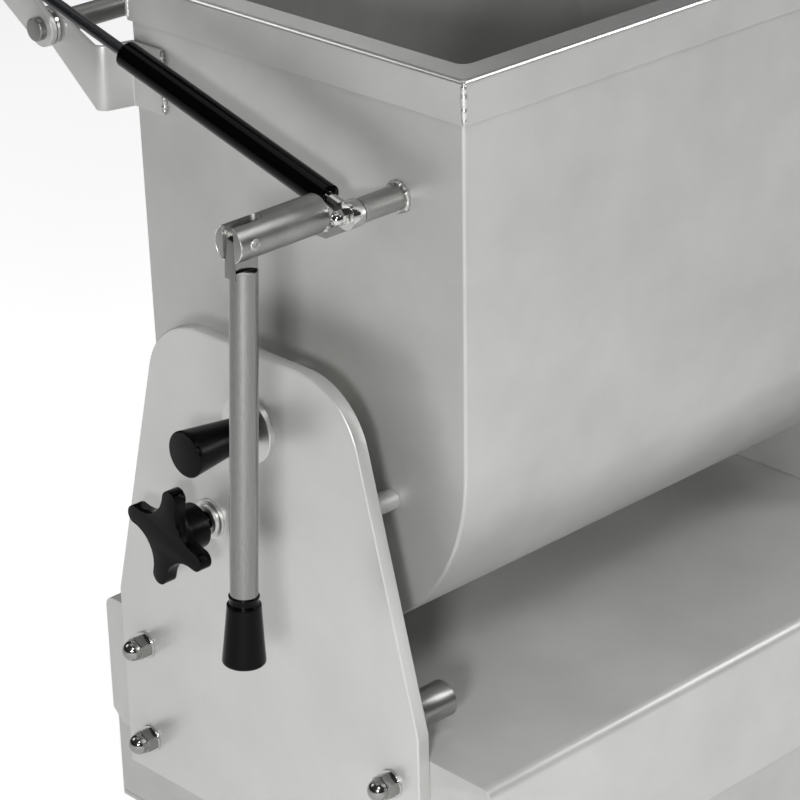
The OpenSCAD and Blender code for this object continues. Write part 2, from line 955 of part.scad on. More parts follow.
module reverse_button() {
    color("black")
        at_origin()
            plunger(-button_step * reverse_share, button_d, button_h);
}

module stop_button() {
    color("red")
        at_origin() {
            plunger(button_step / 2, button_d, mushroom_neck);
            translate([button_x, -col_w / 2 - panel_t - mushroom_neck, button_z + button_step / 2])
                rotate([90, 0, 0])
                    intersection() {
                        cylinder(d = mushroom_d, h = mushroom_h);
                        translate([0, 0, mushroom_h - mushroom_d])
                            sphere(r = mushroom_d);
                    }
        }
}

module button_bezels() {
    color("gainsboro")
        at_origin()
            for (z = button_at)
                translate([button_x, -col_w / 2 - panel_t, button_z + z])
                    rotate([90, 0, 0])
                        difference() {
                            cylinder(d = bezel_d, h = bezel_h);
                            translate([0, 0, -cut])
                                cylinder(d = button_d + 2 * air, h = bezel_h + 2 * cut);
                        }
}

// Each lobe is an arc, and an inward arc tangent to it leads to the next lobe
module star_outline() {
    step = 2 * half_step;
    polygon([for (i = [0 : lobes - 1]) each concat(
        arc(lobe_at * [cos(step * i), sin(step * i)], lobe_r, step * i - meet_a, step * i + meet_a, lobe_n),
        arc(hollow_at * [cos(step * i + half_step), sin(step * i + half_step)], hollow_r,
            step * i + meet_a + 180, step * (i + 1) - meet_a + 180, hollow_n))]);
}

module star_knob() {
    color("black")
        at_origin()
            translate([star_x, star_y, axis_z - star_down]) {
                rotate([90, 0, 90])
                    rotate(star_turn_a)
                        linear_extrude(star_t)
                            star_outline();
                rotate([0, 90, 0])
                    cylinder(d1 = star_hub_d, d2 = star_hub_d * hub_taper_share, h = star_hub_l);
                rotate([0, 90, 0])
                    cylinder(d = clamp_d, h = star_out + plate_t + quad_gap - air);
            }
}

module clamp_washers() {
    color("gainsboro")
        at_origin()
            translate([plate_out, star_y, axis_z - star_down])
                rotate([0, -90, 0])
                    difference() {
                        union() {
                            cylinder(d = clamp_d * washer_d_shares[0], h = clamp_d * washer_h_share);
                            cylinder(d = clamp_d * washer_d_shares[1], h = 2 * clamp_d * washer_h_share);
                        }
                        translate([0, 0, -cut])
                            cylinder(d = clamp_d + 2 * air, h = clamp_d);
                    }
}

module release_knob() {
    color("black")
        at_origin()
            difference() {
                translate([plate_out - disc_t - air - pull_l, 0, axis_z])
                    rotate([0, 90, 0])
                        cylinder(d1 = pull_d, d2 = pull_d * pull_share, h = pull_l);
                rod_x(plate_out - disc_t - air - pull_l / 2, 0, axis_z, carrier_d * shank_share, pull_l);
            }
}

module release_pin() {
    out = plate_out - disc_t - air;
    color("silver")
        at_origin() {
            rod_x(out, 0, axis_z, carrier_d, carrier_in - out);
            rod_x(out - pull_l / 2, 0, axis_z, carrier_d * shank_share, pull_l / 2);
        }
}

module handle_post() {
    color("silver")
        at_origin()
            rod_x(eye_x, -post_y, post_z, post_d, -eye_x);
}

module strut_stud() {
    color("silver")
        at_origin()
            rod_x(eye_out - stud_d * nut_hex_share, -post_y, post_z, stud_d,
                stud_d * nut_hex_share + eye_x - eye_out);
}

module strut_washer() {
    color("gainsboro")
        at_origin()
            translate([eye_x, -post_y, post_z])
                flat_washer(stud_d, washer_t - air);
}

module strut_nut() {
    color("gainsboro")
        at_origin()
            translate([eye_out - air, -post_y, post_z])
                acorn_nut(stud_d);
}

// Bent lug that carries the socket bar below and behind the strut's eye
module handle_lug() {
    top_x = eye_x + lug_t;
    color("silver")
        at_origin()
            difference() {
                union() {
                    slab_x(eye_x, lug_t)
                        translate([-post_y, post_z]) {
                            intersection() {
                                circle(r = post_d / 2 + lug_t / 2);
                                translate([0, -post_d])
                                    square([post_d, 2 * post_d]);
                            }
                            polygon([[0, -post_d / 2 - lug_t / 2], [strap_y, post_d / 4],
                                [strap_y + strap_w, -post_d / 4], [strap_y + strap_w, -strap_drop - lug_t],
                                [strap_y, -strap_drop - lug_t]]);
                        }
                    translate([socket_x, -post_y + strap_y, post_z - strap_drop - lug_t])
                        cube([top_x - socket_x, strap_w, lug_t]);
                }
                rod_x(eye_x - cut, -post_y, post_z, post_d, lug_t + 2 * cut);
            }
}

// Socket bar with a round-ended slot for the arm's tongue
module handle_socket() {
    slot_in = -socket_end + slot_l;
    color("silver")
        at_origin()
            difference() {
                rod_x(-socket_end, socket_y, socket_z, socket_d, socket_end + socket_x);
                translate([-socket_end - cut, socket_y - slot_w / 2, socket_z - socket_d])
                    cube([slot_l - slot_w / 2 + cut, slot_w, 2 * socket_d]);
                translate([slot_in - slot_w / 2, socket_y, socket_z - socket_d])
                    cylinder(d = slot_w, h = 2 * socket_d);
                translate([-pin_x, socket_y - socket_d, socket_z])
                    rotate([-90, 0, 0])
                        cylinder(d = pin_d, h = 2 * socket_d);
            }
}

module arm_pin() {
    color("gainsboro")
        at_origin()
            intersection() {
                translate([-pin_x, socket_y - socket_d / 2, socket_z])
                    rotate([-90, 0, 0])
                        cylinder(d = pin_d, h = socket_d);
                rod_x(-socket_end, socket_y, socket_z, socket_d, socket_end + socket_x);
            }
}

// The hanging arm's own frame: pin at the origin, arm toward -Z
module at_arm() {
    translate([-pin_x, socket_y, socket_z])
        rotate([0, arm_hang, 0])
            children();
}

module handle_arm() {
    color("silver")
        at_origin()
            at_arm()
                difference() {
                    union() {
                        translate([0, tongue_t / 2, 0])
                            rotate([90, 0, 0])
                                cylinder(d = arm_d, h = tongue_t);
                        translate([-arm_d / 2, -tongue_t / 2, -tongue_l - arm_d / 4])
                            intersection() {
                                cube([arm_d, tongue_t, tongue_l + arm_d / 4]);
                                translate([arm_d / 2, tongue_t / 2, 0])
                                    cylinder(d = arm_d * tongue_share, h = tongue_l + arm_d / 4);
                            }
                        translate([0, -arm_front, -arm_l])
                            cylinder(d = arm_d, h = arm_l - tongue_l);
                        translate([0, -arm_front, -arm_l - grip_l * spigot_share])
                            cylinder(d = arm_d * spigot_share, h = grip_l * spigot_share);
                    }
                    translate([0, tongue_t, 0])
                        rotate([90, 0, 0])
                            cylinder(d = pin_d + 2 * run_fit, h = 2 * tongue_t);
                }
}

module arm_grip() {
    color("black")
        at_origin()
            at_arm()
                translate([0, -arm_front, -arm_l])
                    difference() {
                        union() {
                            translate([0, 0, -collar_l])
                                cylinder(d = collar_d, h = collar_l);
                            translate([0, 0, -grip_l])
                                cylinder(d1 = grip_d, d2 = grip_neck_d, h = grip_l - collar_l);
                        }
                        translate([0, 0, -grip_l * spigot_share])
                            cylinder(d = arm_d * spigot_share, h = grip_l);
                    }
}

// Lid-side bracket bent from sheet: a flange on the end wall, a step out and a leg that holds the rod
module hinge_bracket() {
    t = bracket_t;
    edge_y = half_w - step_y / 2;
    low = hinge_z - bracket_low;
    high = hinge_z - bracket_high;
    lean = atan(step_y / (leg_reach - t));
    bend = [bend_r - leg_reach, edge_y + (bend_r - sin(lean) * (bend_r - leg_reach + t)) / cos(lean)];
    color("silver")
        at_origin()
            difference() {
                union() {
                    translate([0, 0, low])
                        linear_extrude(high - low)
                            polygon(concat([[0, edge_y - flange_w]],
                                [[0, edge_y - t * tan(lean) + t / cos(lean)]],
                                arc(bend, bend_r - t, 270 - lean, 180, bend_n),
                                [[-leg_reach, bend[1]]],
                                arc(bend, bend_r, 180, 270 - lean, bend_n),
                                [[-t, edge_y], [-t, edge_y - flange_w]]));
                    slab_x(-leg_reach, t) {
                        polygon([[bend[1], low], [bend[1], high],
                            [hinge_y - rod_boss * boss_shares[0], hinge_z + rod_boss * boss_shares[3]],
                            [hinge_y + rod_boss * boss_shares[1], hinge_z - rod_boss * boss_shares[2]]]);
                        translate([hinge_y, hinge_z])
                            circle(r = rod_boss);
                    }
                }
                rod_x(-leg_reach - cut, hinge_y, hinge_z, rod_d, t + 2 * cut);
            }
}

module hinge_bracket_rear() {
    wall_y = half_w - (tank_up - hinge_up + rod_boss) * tan(wall_lean);
    color("silver")
        at_origin()
            difference() {
                union() {
                    slab_x(rear_bracket_x, bracket_t) {
                        polygon([[wall_y, hinge_z - 3 * rod_boss], [wall_y + bracket_t, hinge_z - rod_boss / 2],
                            [hinge_y, hinge_z + rod_boss],
                            [hinge_y + rod_boss * boss_shares[1], hinge_z - rod_boss * boss_shares[2]]]);
                        translate([hinge_y, hinge_z])
                            circle(r = rod_boss);
                    }
                    translate([rear_bracket_x, wall_y, hinge_z - 3 * rod_boss])
                        cube([2 * rod_boss, bracket_t, 2 * rod_boss + rod_boss / 2]);
                }
                rod_x(rear_bracket_x - cut, hinge_y, hinge_z, rod_d, bracket_t + 2 * cut);
                slab_x(rear_bracket_x - cut, 2 * rod_boss + 2 * cut)
                    tank_section(0);
            }
}

module hinge_rod() {
    color("gainsboro")
        at_origin()
            rod_x(-rod_end, hinge_y, hinge_z, rod_d, rod_end + rear_bracket_x + 2 * bracket_t);
}

// Turns what is drawn closed to the open lid's place
module lid_open() {
    translate([0, hinge_y, hinge_z])
        rotate([-open_a, 0, 0])
            translate([0, -hinge_y, -hinge_z])
                children();
}

module lid_panel() {
    l = tank_l + 2 * lid_x;
    w = 2 * lid_half;
    color("silver")
        at_origin()
            lid_open()
                translate([tank_l / 2, 0, lid_z + lid_t - lid_h])
                    difference() {
                        linear_extrude(lid_h)
                            round_rect(l, w, lid_t * 4);
                        translate([0, 0, -cut])
                            linear_extrude(lid_h - lid_t + cut)
                                round_rect(l - 2 * lid_t, w - 2 * lid_t, lid_t * 3);
                    }
}

module lid_arm() {
    top = lid_z + lid_t;
    front = stud_y - lid_arm_front;
    color("silver")
        at_origin()
            lid_open()
                difference() {
                    union() {
                        slab_x(lid_arm_x, lid_arm_t) {
                            polygon([[hinge_y + rod_boss * boss_shares[1], hinge_z + rod_boss * boss_shares[2]],
                                [hinge_y - rod_boss * boss_shares[1], hinge_z - rod_boss * boss_shares[2]],
                                [stud_y - pivot_boss * pivot_share, stud_z - pivot_boss * pivot_share],
                                [front, top + lid_arm_t], [front, top + 3 * lid_arm_t],
                                [stud_y + pivot_boss, top + 3 * lid_arm_t]]);
                            translate([hinge_y, hinge_z])
                                circle(r = rod_boss);
                            translate([stud_y, stud_z])
                                circle(r = pivot_boss);
                        }
                        translate([lid_arm_x, front, top])
                            cube([-lid_arm_x + rim_w, stud_y - front, lid_arm_t]);
                    }
                    rod_x(lid_arm_x - cut, hinge_y, hinge_z, rod_d + 2 * run_fit, lid_arm_t + 2 * cut);
                }
}

module lid_arm_rear() {
    top = lid_z + lid_t;
    front = stud_y - lid_arm_front;
    color("silver")
        at_origin()
            lid_open()
                difference() {
                    union() {
                        slab_x(rear_arm_x, lid_arm_t) {
                            polygon([[hinge_y + rod_boss * boss_shares[1], hinge_z + rod_boss * boss_shares[2]],
                                [hinge_y - rod_boss * boss_shares[3], hinge_z - rod_boss * boss_shares[0]],
                                [lid_half + lid_t, top], [lid_half - rim_w, top], [front, top],
                                [front, top + lid_arm_t * 2], [lid_half, top + 3 * lid_arm_t]]);
                            translate([hinge_y, hinge_z])
                                circle(r = rod_boss);
                        }
                        translate([rear_arm_x, front, top])
                            cube([rim_w, lid_half - front - rim_w, lid_arm_t]);
                    }
                    rod_x(rear_arm_x - cut, hinge_y, hinge_z, rod_d + 2 * run_fit, lid_arm_t + 2 * cut);
                }
}

// Bow handle on the lid's front skirt, bent from round bar
module lid_handle() {
    mid = tank_l / 2;
    leg = bow_reach - bow_bend;
    color("gainsboro")
        at_origin()
            lid_open()
                translate([mid, 0, bow_z]) {
                    rod_x(-bow_half + bow_bend, bow_y, 0, 2 * bow_r, 2 * (bow_half - bow_bend));
                    for (s = [-1, 1])
                        translate([s * (bow_half - bow_bend), bow_y + bow_bend, 0]) {
                            rotate([0, 0, s > 0 ? -90 : 180])
                                rotate_extrude(angle = 90)
                                    translate([bow_bend, 0])
                                        circle(r = bow_r);
                            translate([s * bow_bend, 0, 0])
                                rotate([-90, 0, 0])
                                    cylinder(r = bow_r, h = leg);
                        }
                }
}

module hinge_collars() {
    color("gainsboro")
        at_origin()
            for (x = [lid_arm_x + lid_arm_t + air, rear_arm_x + lid_arm_t + air])
                difference() {
                    rod_x(x, hinge_y, hinge_z, rod_d * collar_share, bracket_t - 2 * air);
                    rod_x(x - cut, hinge_y, hinge_z, rod_d, bracket_t + 2 * cut);
                }
}

// The strut's own frame: lower eye at the origin, strut toward +Y
module at_strut() {
    translate([strut_x, -post_y, post_z])
        rotate([strut_a, 0, 0])
            children();
}

// Eye of the strut round the X axis, with a bore for its stud
module strut_eye(y, bore) {
    translate([-eye_t / 2, y, 0])
        rotate([0, 90, 0])
            difference() {
                cylinder(d = eye_d, h = eye_t);
                translate([0, 0, -cut])
                    cylinder(d = bore, h = eye_t + 2 * cut);
            }
}

module strut_tube() {
    wall = (tube_d - piston_d) / 4;
    neck = eye_t * neck_share;
    color("black")
        at_origin()
            at_strut() {
                strut_eye(0, stud_d + 2 * run_fit);
                difference() {
                    translate([0, eye_d * neck_start_share, 0])
                        rotate([-90, 0, 0])
                            cylinder(d = neck, h = tube_start - eye_d * neck_start_share);
                    rod_x(-eye_t, 0, 0, stud_d + 2 * run_fit, 2 * eye_t);
                }
                translate([0, tube_start, 0])
                    rotate([-90, 0, 0])
                        difference() {
                            cylinder(d = tube_d, h = tube_l);
                            translate([0, 0, wall])
                                cylinder(d = tube_d - 2 * wall, h = tube_l - 2 * wall - cut);
                            translate([0, 0, tube_l - 3 * wall])
                                cylinder(d = piston_d + 2 * piston_gap, h = 4 * wall);
                        }
            }
}

module strut_rod() {
    neck = eye_t * neck_share;
    color("gainsboro")
        at_origin()
            at_strut() {
                strut_eye(strut_l, stud_d);
                difference() {
                    union() {
                        translate([0, strut_l - tube_start, 0])
                            rotate([-90, 0, 0])
                                cylinder(d = neck, h = tube_start - eye_d * neck_start_share);
                        translate([0, piston_in, 0])
                            rotate([-90, 0, 0])
                                cylinder(d = piston_d, h = strut_l - tube_start - piston_in);
                        translate([0, piston_in, 0])
                            rotate([-90, 0, 0])
                                cylinder(d = tube_d * piston_head_share, h = piston_d);
                    }
                    translate([0, strut_l, 0])
                        rod_x(-eye_t, 0, 0, stud_d, 2 * eye_t);
                }
            }
}

// Stud in the strut's upper eye, with its acorn nut; it ends just short of the lid's arm
module strut_pin() {
    color("gainsboro")
        at_origin()
            at_strut()
                translate([0, strut_l, 0]) {
                    rod_x(-eye_t / 2 - stud_d * nut_hex_share, 0, 0, stud_d,
                        eye_t + stud_d * nut_hex_share);
                    translate([-eye_t / 2, 0, 0])
                        acorn_nut(stud_d);
                }
}

module drive_shaft() {
    tongue_x = tank_l - tank_t - air - tongue_deep;
    gx = col_x + col_t + bearing_plate_t + gear_gap;
    color("gainsboro")
        at_origin() {
            rod_x(tongue_x + tongue_deep, 0, axis_z, drive_d,
                gx + gear_l * shaft_end_share - tongue_x - tongue_deep);
            intersection() {
                rod_x(tongue_x, 0, axis_z, drive_d, tongue_deep);
                translate([tongue_x - cut, -drive_tongue_t / 2, axis_z - drive_d])
                    cube([tongue_deep + cut, drive_tongue_t, 2 * drive_d]);
            }
        }
}

module shaft_seal() {
    color("dimgray")
        at_origin()
            difference() {
                rod_x(tank_l, 0, axis_z, drive_bore, seal_t);
                rod_x(tank_l - cut, 0, axis_z, drive_d + 2 * run_fit, seal_t + 2 * cut);
            }
}

module mixing_shaft() {
    far = tank_l - tank_t - shaft_far;
    color("gainsboro")
        at_origin()
            difference() {
                union() {
                    rod_x(shaft_near, 0, axis_z, mix_d, far - shaft_near);
                    rod_x(shaft_near, 0, axis_z, carrier_d * carrier_hub_share, carrier_in);
                    rod_x(far - hub_l, 0, axis_z, hub_d, hub_l);
                }
                rod_x(shaft_near - cut, 0, axis_z, carrier_d + 2 * run_fit, carrier_in + cut);
                translate([tank_l - tank_t - 3 * air - tongue_deep, -drive_tongue_t / 2 - side_fit,
                    axis_z - hub_d])
                    cube([2 * tongue_deep, drive_tongue_t + 2 * side_fit, 2 * hub_d]);
            }
}

// Places of the paddles, each turned a step further round the shaft
module at_paddles() {
    for (i = [0 : paddle_n - 1])
        translate([paddle_margin + i * paddle_pitch, 0, axis_z])
            rotate([paddle_first_a + i * paddle_step_a, 0, 0])
                children();
}

module paddle_arms() {
    color("gainsboro")
        at_origin()
            at_paddles()
                difference() {
                    cylinder(d = paddle_rod_d, h = paddle_r - blade_h);
                    rod_x(-paddle_rod_d, 0, 0, mix_d, 2 * paddle_rod_d);
                }
}

module paddle_blades() {
    color("gainsboro")
        at_origin()
            at_paddles()
                intersection() {
                    translate([0, 0, paddle_r - blade_h])
                        rotate([0, 0, blade_a])
                            translate([-blade_w / 2, -blade_t / 2, 0])
                                cube([blade_w, blade_t, blade_h]);
                    rod_x(-blade_w, 0, 0, 2 * paddle_r, 2 * blade_w);
                }
}

base_chassis();
base_floor();
base_cover();
feet();
foot_studs();
side_plate();
plate_studs();
plate_washers();
plate_nuts();
stop_pin();
stub_bush();
column_shell();
column_cover();
bearing_plate();
drive_bush();
gearbox();
motor();
fan_cowl();
switch_box();
cable_gland();
control_panel();
forward_button();
reverse_button();
stop_button();
button_bezels();
star_knob();
clamp_washers();
tank_shell();
tank_rim();
stub_trunnion();
drive_trunnion();
lock_quadrant();
handle_post();
handle_lug();
handle_socket();
arm_pin();
strut_stud();
strut_washer();
strut_nut();
hinge_bracket();
hinge_bracket_rear();
hinge_rod();
handle_arm();
arm_grip();
lid_panel();
lid_arm();
lid_arm_rear();
lid_handle();
hinge_collars();
strut_tube();
strut_rod();
strut_pin();
release_pin();
release_knob();
drive_shaft();
shaft_seal();
mixing_shaft();
paddle_arms();
paddle_blades();
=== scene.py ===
import json
import math

import bmesh
import bpy
from mathutils import Matrix, Vector, noise


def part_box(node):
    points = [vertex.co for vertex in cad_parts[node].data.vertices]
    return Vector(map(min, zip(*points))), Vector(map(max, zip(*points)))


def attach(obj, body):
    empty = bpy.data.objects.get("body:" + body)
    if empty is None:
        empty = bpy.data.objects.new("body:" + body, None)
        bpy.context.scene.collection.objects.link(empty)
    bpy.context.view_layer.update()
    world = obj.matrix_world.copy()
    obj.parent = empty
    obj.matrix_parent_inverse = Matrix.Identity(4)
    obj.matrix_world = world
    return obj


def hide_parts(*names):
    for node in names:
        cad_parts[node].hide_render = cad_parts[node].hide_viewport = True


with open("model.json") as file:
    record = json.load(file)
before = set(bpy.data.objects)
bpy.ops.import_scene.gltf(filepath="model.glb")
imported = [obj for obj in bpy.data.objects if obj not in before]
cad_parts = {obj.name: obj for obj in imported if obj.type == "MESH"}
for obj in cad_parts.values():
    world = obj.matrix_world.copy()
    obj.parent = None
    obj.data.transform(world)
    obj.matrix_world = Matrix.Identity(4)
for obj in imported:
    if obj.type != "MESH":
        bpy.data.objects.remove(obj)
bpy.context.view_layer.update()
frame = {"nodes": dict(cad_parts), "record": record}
print("frame loaded:", len(frame["nodes"]), "nodes")


# Colours are picked as sRGB hex and turned to linear here
def hexColour(text, alpha=1.0):
    values = [int(text[i:i + 2], 16) / 255 for i in (1, 3, 5)]
    linear = [v / 12.92 if v <= 0.04045 else ((v + 0.055) / 1.055) ** 2.4 for v in values]
    return (*linear, alpha)


# Adds a node, sets its sockets or properties, and links what feeds it
def addNode(tree, kind, settings=None, links=None):
    node = tree.nodes.new(kind)
    for name, value in (settings or {}).items():
        if isinstance(name, int) or name in node.inputs:
            node.inputs[name].default_value = value
        else:
            setattr(node, name, value)
    for name, source in (links or {}).items():
        tree.links.new(source, node.inputs[name])
    return node


def newMaterial(name):
    material = bpy.data.materials.new(name)
    material.use_nodes = True
    material.node_tree.nodes.clear()
    return material, material.node_tree


# Feature size in millimetres to a texture scale in metres
def perMetre(sizeMm):
    return 1000 / sizeMm


# Bead-blasted stainless: shot leaves a fine even frosting that scatters part of the light
# like a matt surface, so it looks pale grey and soft, with faint clouds. The cover of the base
# is the coarsest and mattest, the thick plate is paler, and the handle's bars are satin and
# mirror the most
blastedSheet = {
    "light": "#C2C2C0", "dark": "#B2B2B1", "metal": 0.5, "rough": (0.34, 0.44), "frostMm": 0.9,
    "cloudMm": 90, "bumpMm": 0.02}
blastedCover = dict(blastedSheet, light="#CACAC8", dark="#BCBCBB", metal=0.3)
blastedPlate = dict(blastedSheet, light="#D2D2D0", dark="#C8C8C6", rough=(0.3, 0.4))
satinBar = dict(blastedSheet, light="#A6A6A4", dark="#929290", metal=0.95, rough=(0.36, 0.46), cloudMm=18)


def blastedStainless(name, look):
    material, tree = newMaterial(name)
    place = addNode(tree, "ShaderNodeTexCoord").outputs["Object"]
    frost = addNode(tree, "ShaderNodeTexNoise",
        {"Scale": perMetre(look["frostMm"]), "Detail": 3.0, "Roughness": 0.6}, {"Vector": place})
    cloud = addNode(tree, "ShaderNodeTexNoise",
        {"Scale": perMetre(look["cloudMm"]), "Detail": 4.0, "Roughness": 0.55}, {"Vector": place})
    tint = addNode(tree, "ShaderNodeValToRGB", links={"Fac": cloud.outputs["Fac"]})
    tint.color_ramp.elements[0].position = 0.3
    tint.color_ramp.elements[0].color = hexColour(look["dark"])
    tint.color_ramp.elements[1].position = 0.7
    tint.color_ramp.elements[1].color = hexColour(look["light"])
    both = addNode(tree, "ShaderNodeMath", {"operation": "ADD"},
        {0: frost.outputs["Fac"], 1: cloud.outputs["Fac"]})
    low, high = look["rough"]
    rough = addNode(tree, "ShaderNodeMapRange",
        {"From Min": 0.6, "From Max": 1.4, "To Min": low, "To Max": high}, {"Value": both.outputs[0]})
    bump = addNode(tree, "ShaderNodeBump", {"Strength": 0.35, "Distance": look["bumpMm"] / 1000},
        {"Height": frost.outputs["Fac"]})
    metal = addNode(tree, "ShaderNodeBsdfPrincipled", {"Metallic": look["metal"]},
        {"Base Color": tint.outputs["Color"], "Roughness": rough.outputs["Result"],
         "Normal": bump.outputs["Normal"]})
    addNode(tree, "ShaderNodeOutputMaterial", links={"Surface": metal.outputs["BSDF"]})
    return material


# Brushed stainless: a belt leaves fine lines along one direction, which break a highlight
# into streaks. The handle's arm is drawn bar with a closer grain, so its highlight is narrow.
# Ground edges and beads take a paler copy, a painted highlight that shows them as bright lines
brushedBar = {"light": "#9C9C9A", "dark": "#828280", "rough": (0.3, 0.4), "lineMm": 0.35, "lengthMm": 60,
    "bumpMm": 0.003}
drawnBar = dict(brushedBar, light="#8E8E8C", dark="#7C7C7A", rough=(0.09, 0.14))
groundEdgePaintedHighlight = dict(brushedBar, light="#E0E0DE", dark="#D0D0CE")


def brushedStainless(name, look, along):
    material, tree = newMaterial(name)
    place = addNode(tree, "ShaderNodeTexCoord").outputs["Object"]
    scales = [perMetre(look["lineMm"])] * 3
    scales["xyz".index(along)] = perMetre(look["lengthMm"])
    stretch = addNode(tree, "ShaderNodeMapping", {"Scale": scales}, {"Vector": place})
    lines = addNode(tree, "ShaderNodeTexNoise", {"Scale": 1.0, "Detail": 3.0, "Roughness": 0.65},
        {"Vector": stretch.outputs["Vector"]})
    tint = addNode(tree, "ShaderNodeValToRGB", links={"Fac": lines.outputs["Fac"]})
    tint.color_ramp.elements[0].position = 0.3
    tint.color_ramp.elements[0].color = hexColour(look["dark"])
    tint.color_ramp.elements[1].position = 0.7
    tint.color_ramp.elements[1].color = hexColour(look["light"])
    low, high = look["rough"]
    rough = addNode(tree, "ShaderNodeMapRange",
        {"From Min": 0.3, "From Max": 0.7, "To Min": low, "To Max": high}, {"Value": lines.outputs["Fac"]})
    bump = addNode(tree, "ShaderNodeBump", {"Strength": 0.5, "Distance": look["bumpMm"] / 1000},
        {"Height": lines.outputs["Fac"]})
    metal = addNode(tree, "ShaderNodeBsdfPrincipled", {"Metallic": 1.0},
        {"Base Color": tint.outputs["Color"], "Roughness": rough.outputs["Result"],
         "Normal": bump.outputs["Normal"]})
    addNode(tree, "ShaderNodeOutputMaterial", links={"Surface": metal.outputs["BSDF"]})
    return material


# Polished stainless: buffed until it mirrors its surroundings, with hardly any haze left. The
# plate's nuts take a darker, slightly rougher copy, whose darker colour is a painted dark reflection
polishedSteel = {"colour": "#C8C8C6", "rough": (0.1, 0.16), "hazeMm": 6}
nutSteelPaintedDark = dict(polishedSteel, colour="#9C9C9A", rough=(0.14, 0.2))


def polishedStainless(name, look):
    material, tree = newMaterial(name)
    place = addNode(tree, "ShaderNodeTexCoord").outputs["Object"]
    haze = addNode(tree, "ShaderNodeTexNoise", {"Scale": perMetre(look["hazeMm"]), "Detail": 3.0},
        {"Vector": place})
    low, high = look["rough"]
    rough = addNode(tree, "ShaderNodeMapRange",
        {"From Min": 0.3, "From Max": 0.7, "To Min": low, "To Max": high}, {"Value": haze.outputs["Fac"]})
    metal = addNode(tree, "ShaderNodeBsdfPrincipled",
        {"Metallic": 1.0, "Base Color": hexColour(look["colour"])}, {"Roughness": rough.outputs["Result"]})
    addNode(tree, "ShaderNodeOutputMaterial", links={"Surface": metal.outputs["BSDF"]})
    return material


# TIG weld in stainless, brushed clean: silvery ripples, a little rougher than the bar
weldMetal = {"colour": "#B4B4B1", "rough": (0.28, 0.46), "rippleMm": 1.6, "bumpMm": 0.25}


def tigWeld(name, look):
    material, tree = newMaterial(name)
    place = addNode(tree, "ShaderNodeTexCoord").outputs["Object"]
    ripple = addNode(tree, "ShaderNodeTexNoise", {"Scale": perMetre(look["rippleMm"]), "Detail": 2.0},
        {"Vector": place})
    low, high = look["rough"]
    rough = addNode(tree, "ShaderNodeMapRange",
        {"From Min": 0.3, "From Max": 0.7, "To Min": low, "To Max": high}, {"Value": ripple.outputs["Fac"]})
    bump = addNode(tree, "ShaderNodeBump", {"Strength": 0.8, "Distance": look["bumpMm"] / 1000},
        {"Height": ripple.outputs["Fac"]})
    metal = addNode(tree, "ShaderNodeBsdfPrincipled",
        {"Metallic": 1.0, "Base Color": hexColour(look["colour"])},
        {"Roughness": rough.outputs["Result"], "Normal": bump.outputs["Normal"]})
    addNode(tree, "ShaderNodeOutputMaterial", links={"Surface": metal.outputs["BSDF"]})
    return material


# Moulded plastics and paints share one build: an even colour, a slight orange peel and
# small changes of gloss, as skin cooled in a mould or enamel that flowed before it set
blackMoulding = {"colour": "#040405", "rough": (0.1, 0.18), "peelMm": 3.5, "bumpMm": 0.03, "ior": 1.49,
    "shine": 0.1}
blackEnamel = {"colour": "#030304", "rough": (0.05, 0.12), "peelMm": 5, "bumpMm": 0.015, "ior": 1.5,
    "shine": 0.1}
greyEnamel = {"colour": "#5A6066", "rough": (0.3, 0.42), "peelMm": 2.5, "bumpMm": 0.05, "ior": 1.5}
panelMoulding = {"colour": "#2B2C2E", "rough": (0.42, 0.55), "peelMm": 0.8, "bumpMm": 0.03, "ior": 1.47}
greenMoulding = {"colour": "#1E7A3A", "rough": (0.22, 0.32), "peelMm": 3, "bumpMm": 0.02, "ior": 1.49}
redMoulding = {"colour": "#B01A1C", "rough": (0.22, 0.32), "peelMm": 3, "bumpMm": 0.02, "ior": 1.49}
paleMoulding = {"colour": "#C4C3BE", "rough": (0.45, 0.6), "peelMm": 1.2, "bumpMm": 0.03, "ior": 1.47}
bearingPlastic = {"colour": "#E4E0D2", "rough": (0.35, 0.5), "peelMm": 2, "bumpMm": 0.02, "ior": 1.5}
nitridedRod = {"colour": "#16171A", "rough": (0.18, 0.28), "peelMm": 1.5, "bumpMm": 0.005, "ior": 1.6}
mouldedRubber = {"colour": "#1A1A1A", "rough": (0.6, 0.8), "peelMm": 0.7, "bumpMm": 0.06, "ior": 1.52}


def mouldedOrPainted(name, look):
    material, tree = newMaterial(name)
    place = addNode(tree, "ShaderNodeTexCoord").outputs["Object"]
    peel = addNode(tree, "ShaderNodeTexNoise", {"Scale": perMetre(look["peelMm"]), "Detail": 3.0},
        {"Vector": place})
    low, high = look["rough"]
    rough = addNode(tree, "ShaderNodeMapRange",
        {"From Min": 0.3, "From Max": 0.7, "To Min": low, "To Max": high}, {"Value": peel.outputs["Fac"]})
    bump = addNode(tree, "ShaderNodeBump", {"Strength": 0.3, "Distance": look["bumpMm"] / 1000},
        {"Height": peel.outputs["Fac"]})
    skin = addNode(tree, "ShaderNodeBsdfPrincipled",
        {"Base Color": hexColour(look["colour"]), "IOR": look["ior"],
         "Specular IOR Level": look.get("shine", 0.5)},
        {"Roughness": rough.outputs["Result"], "Normal": bump.outputs["Normal"]})
    addNode(tree, "ShaderNodeOutputMaterial", links={"Surface": skin.outputs["BSDF"]})
    return material


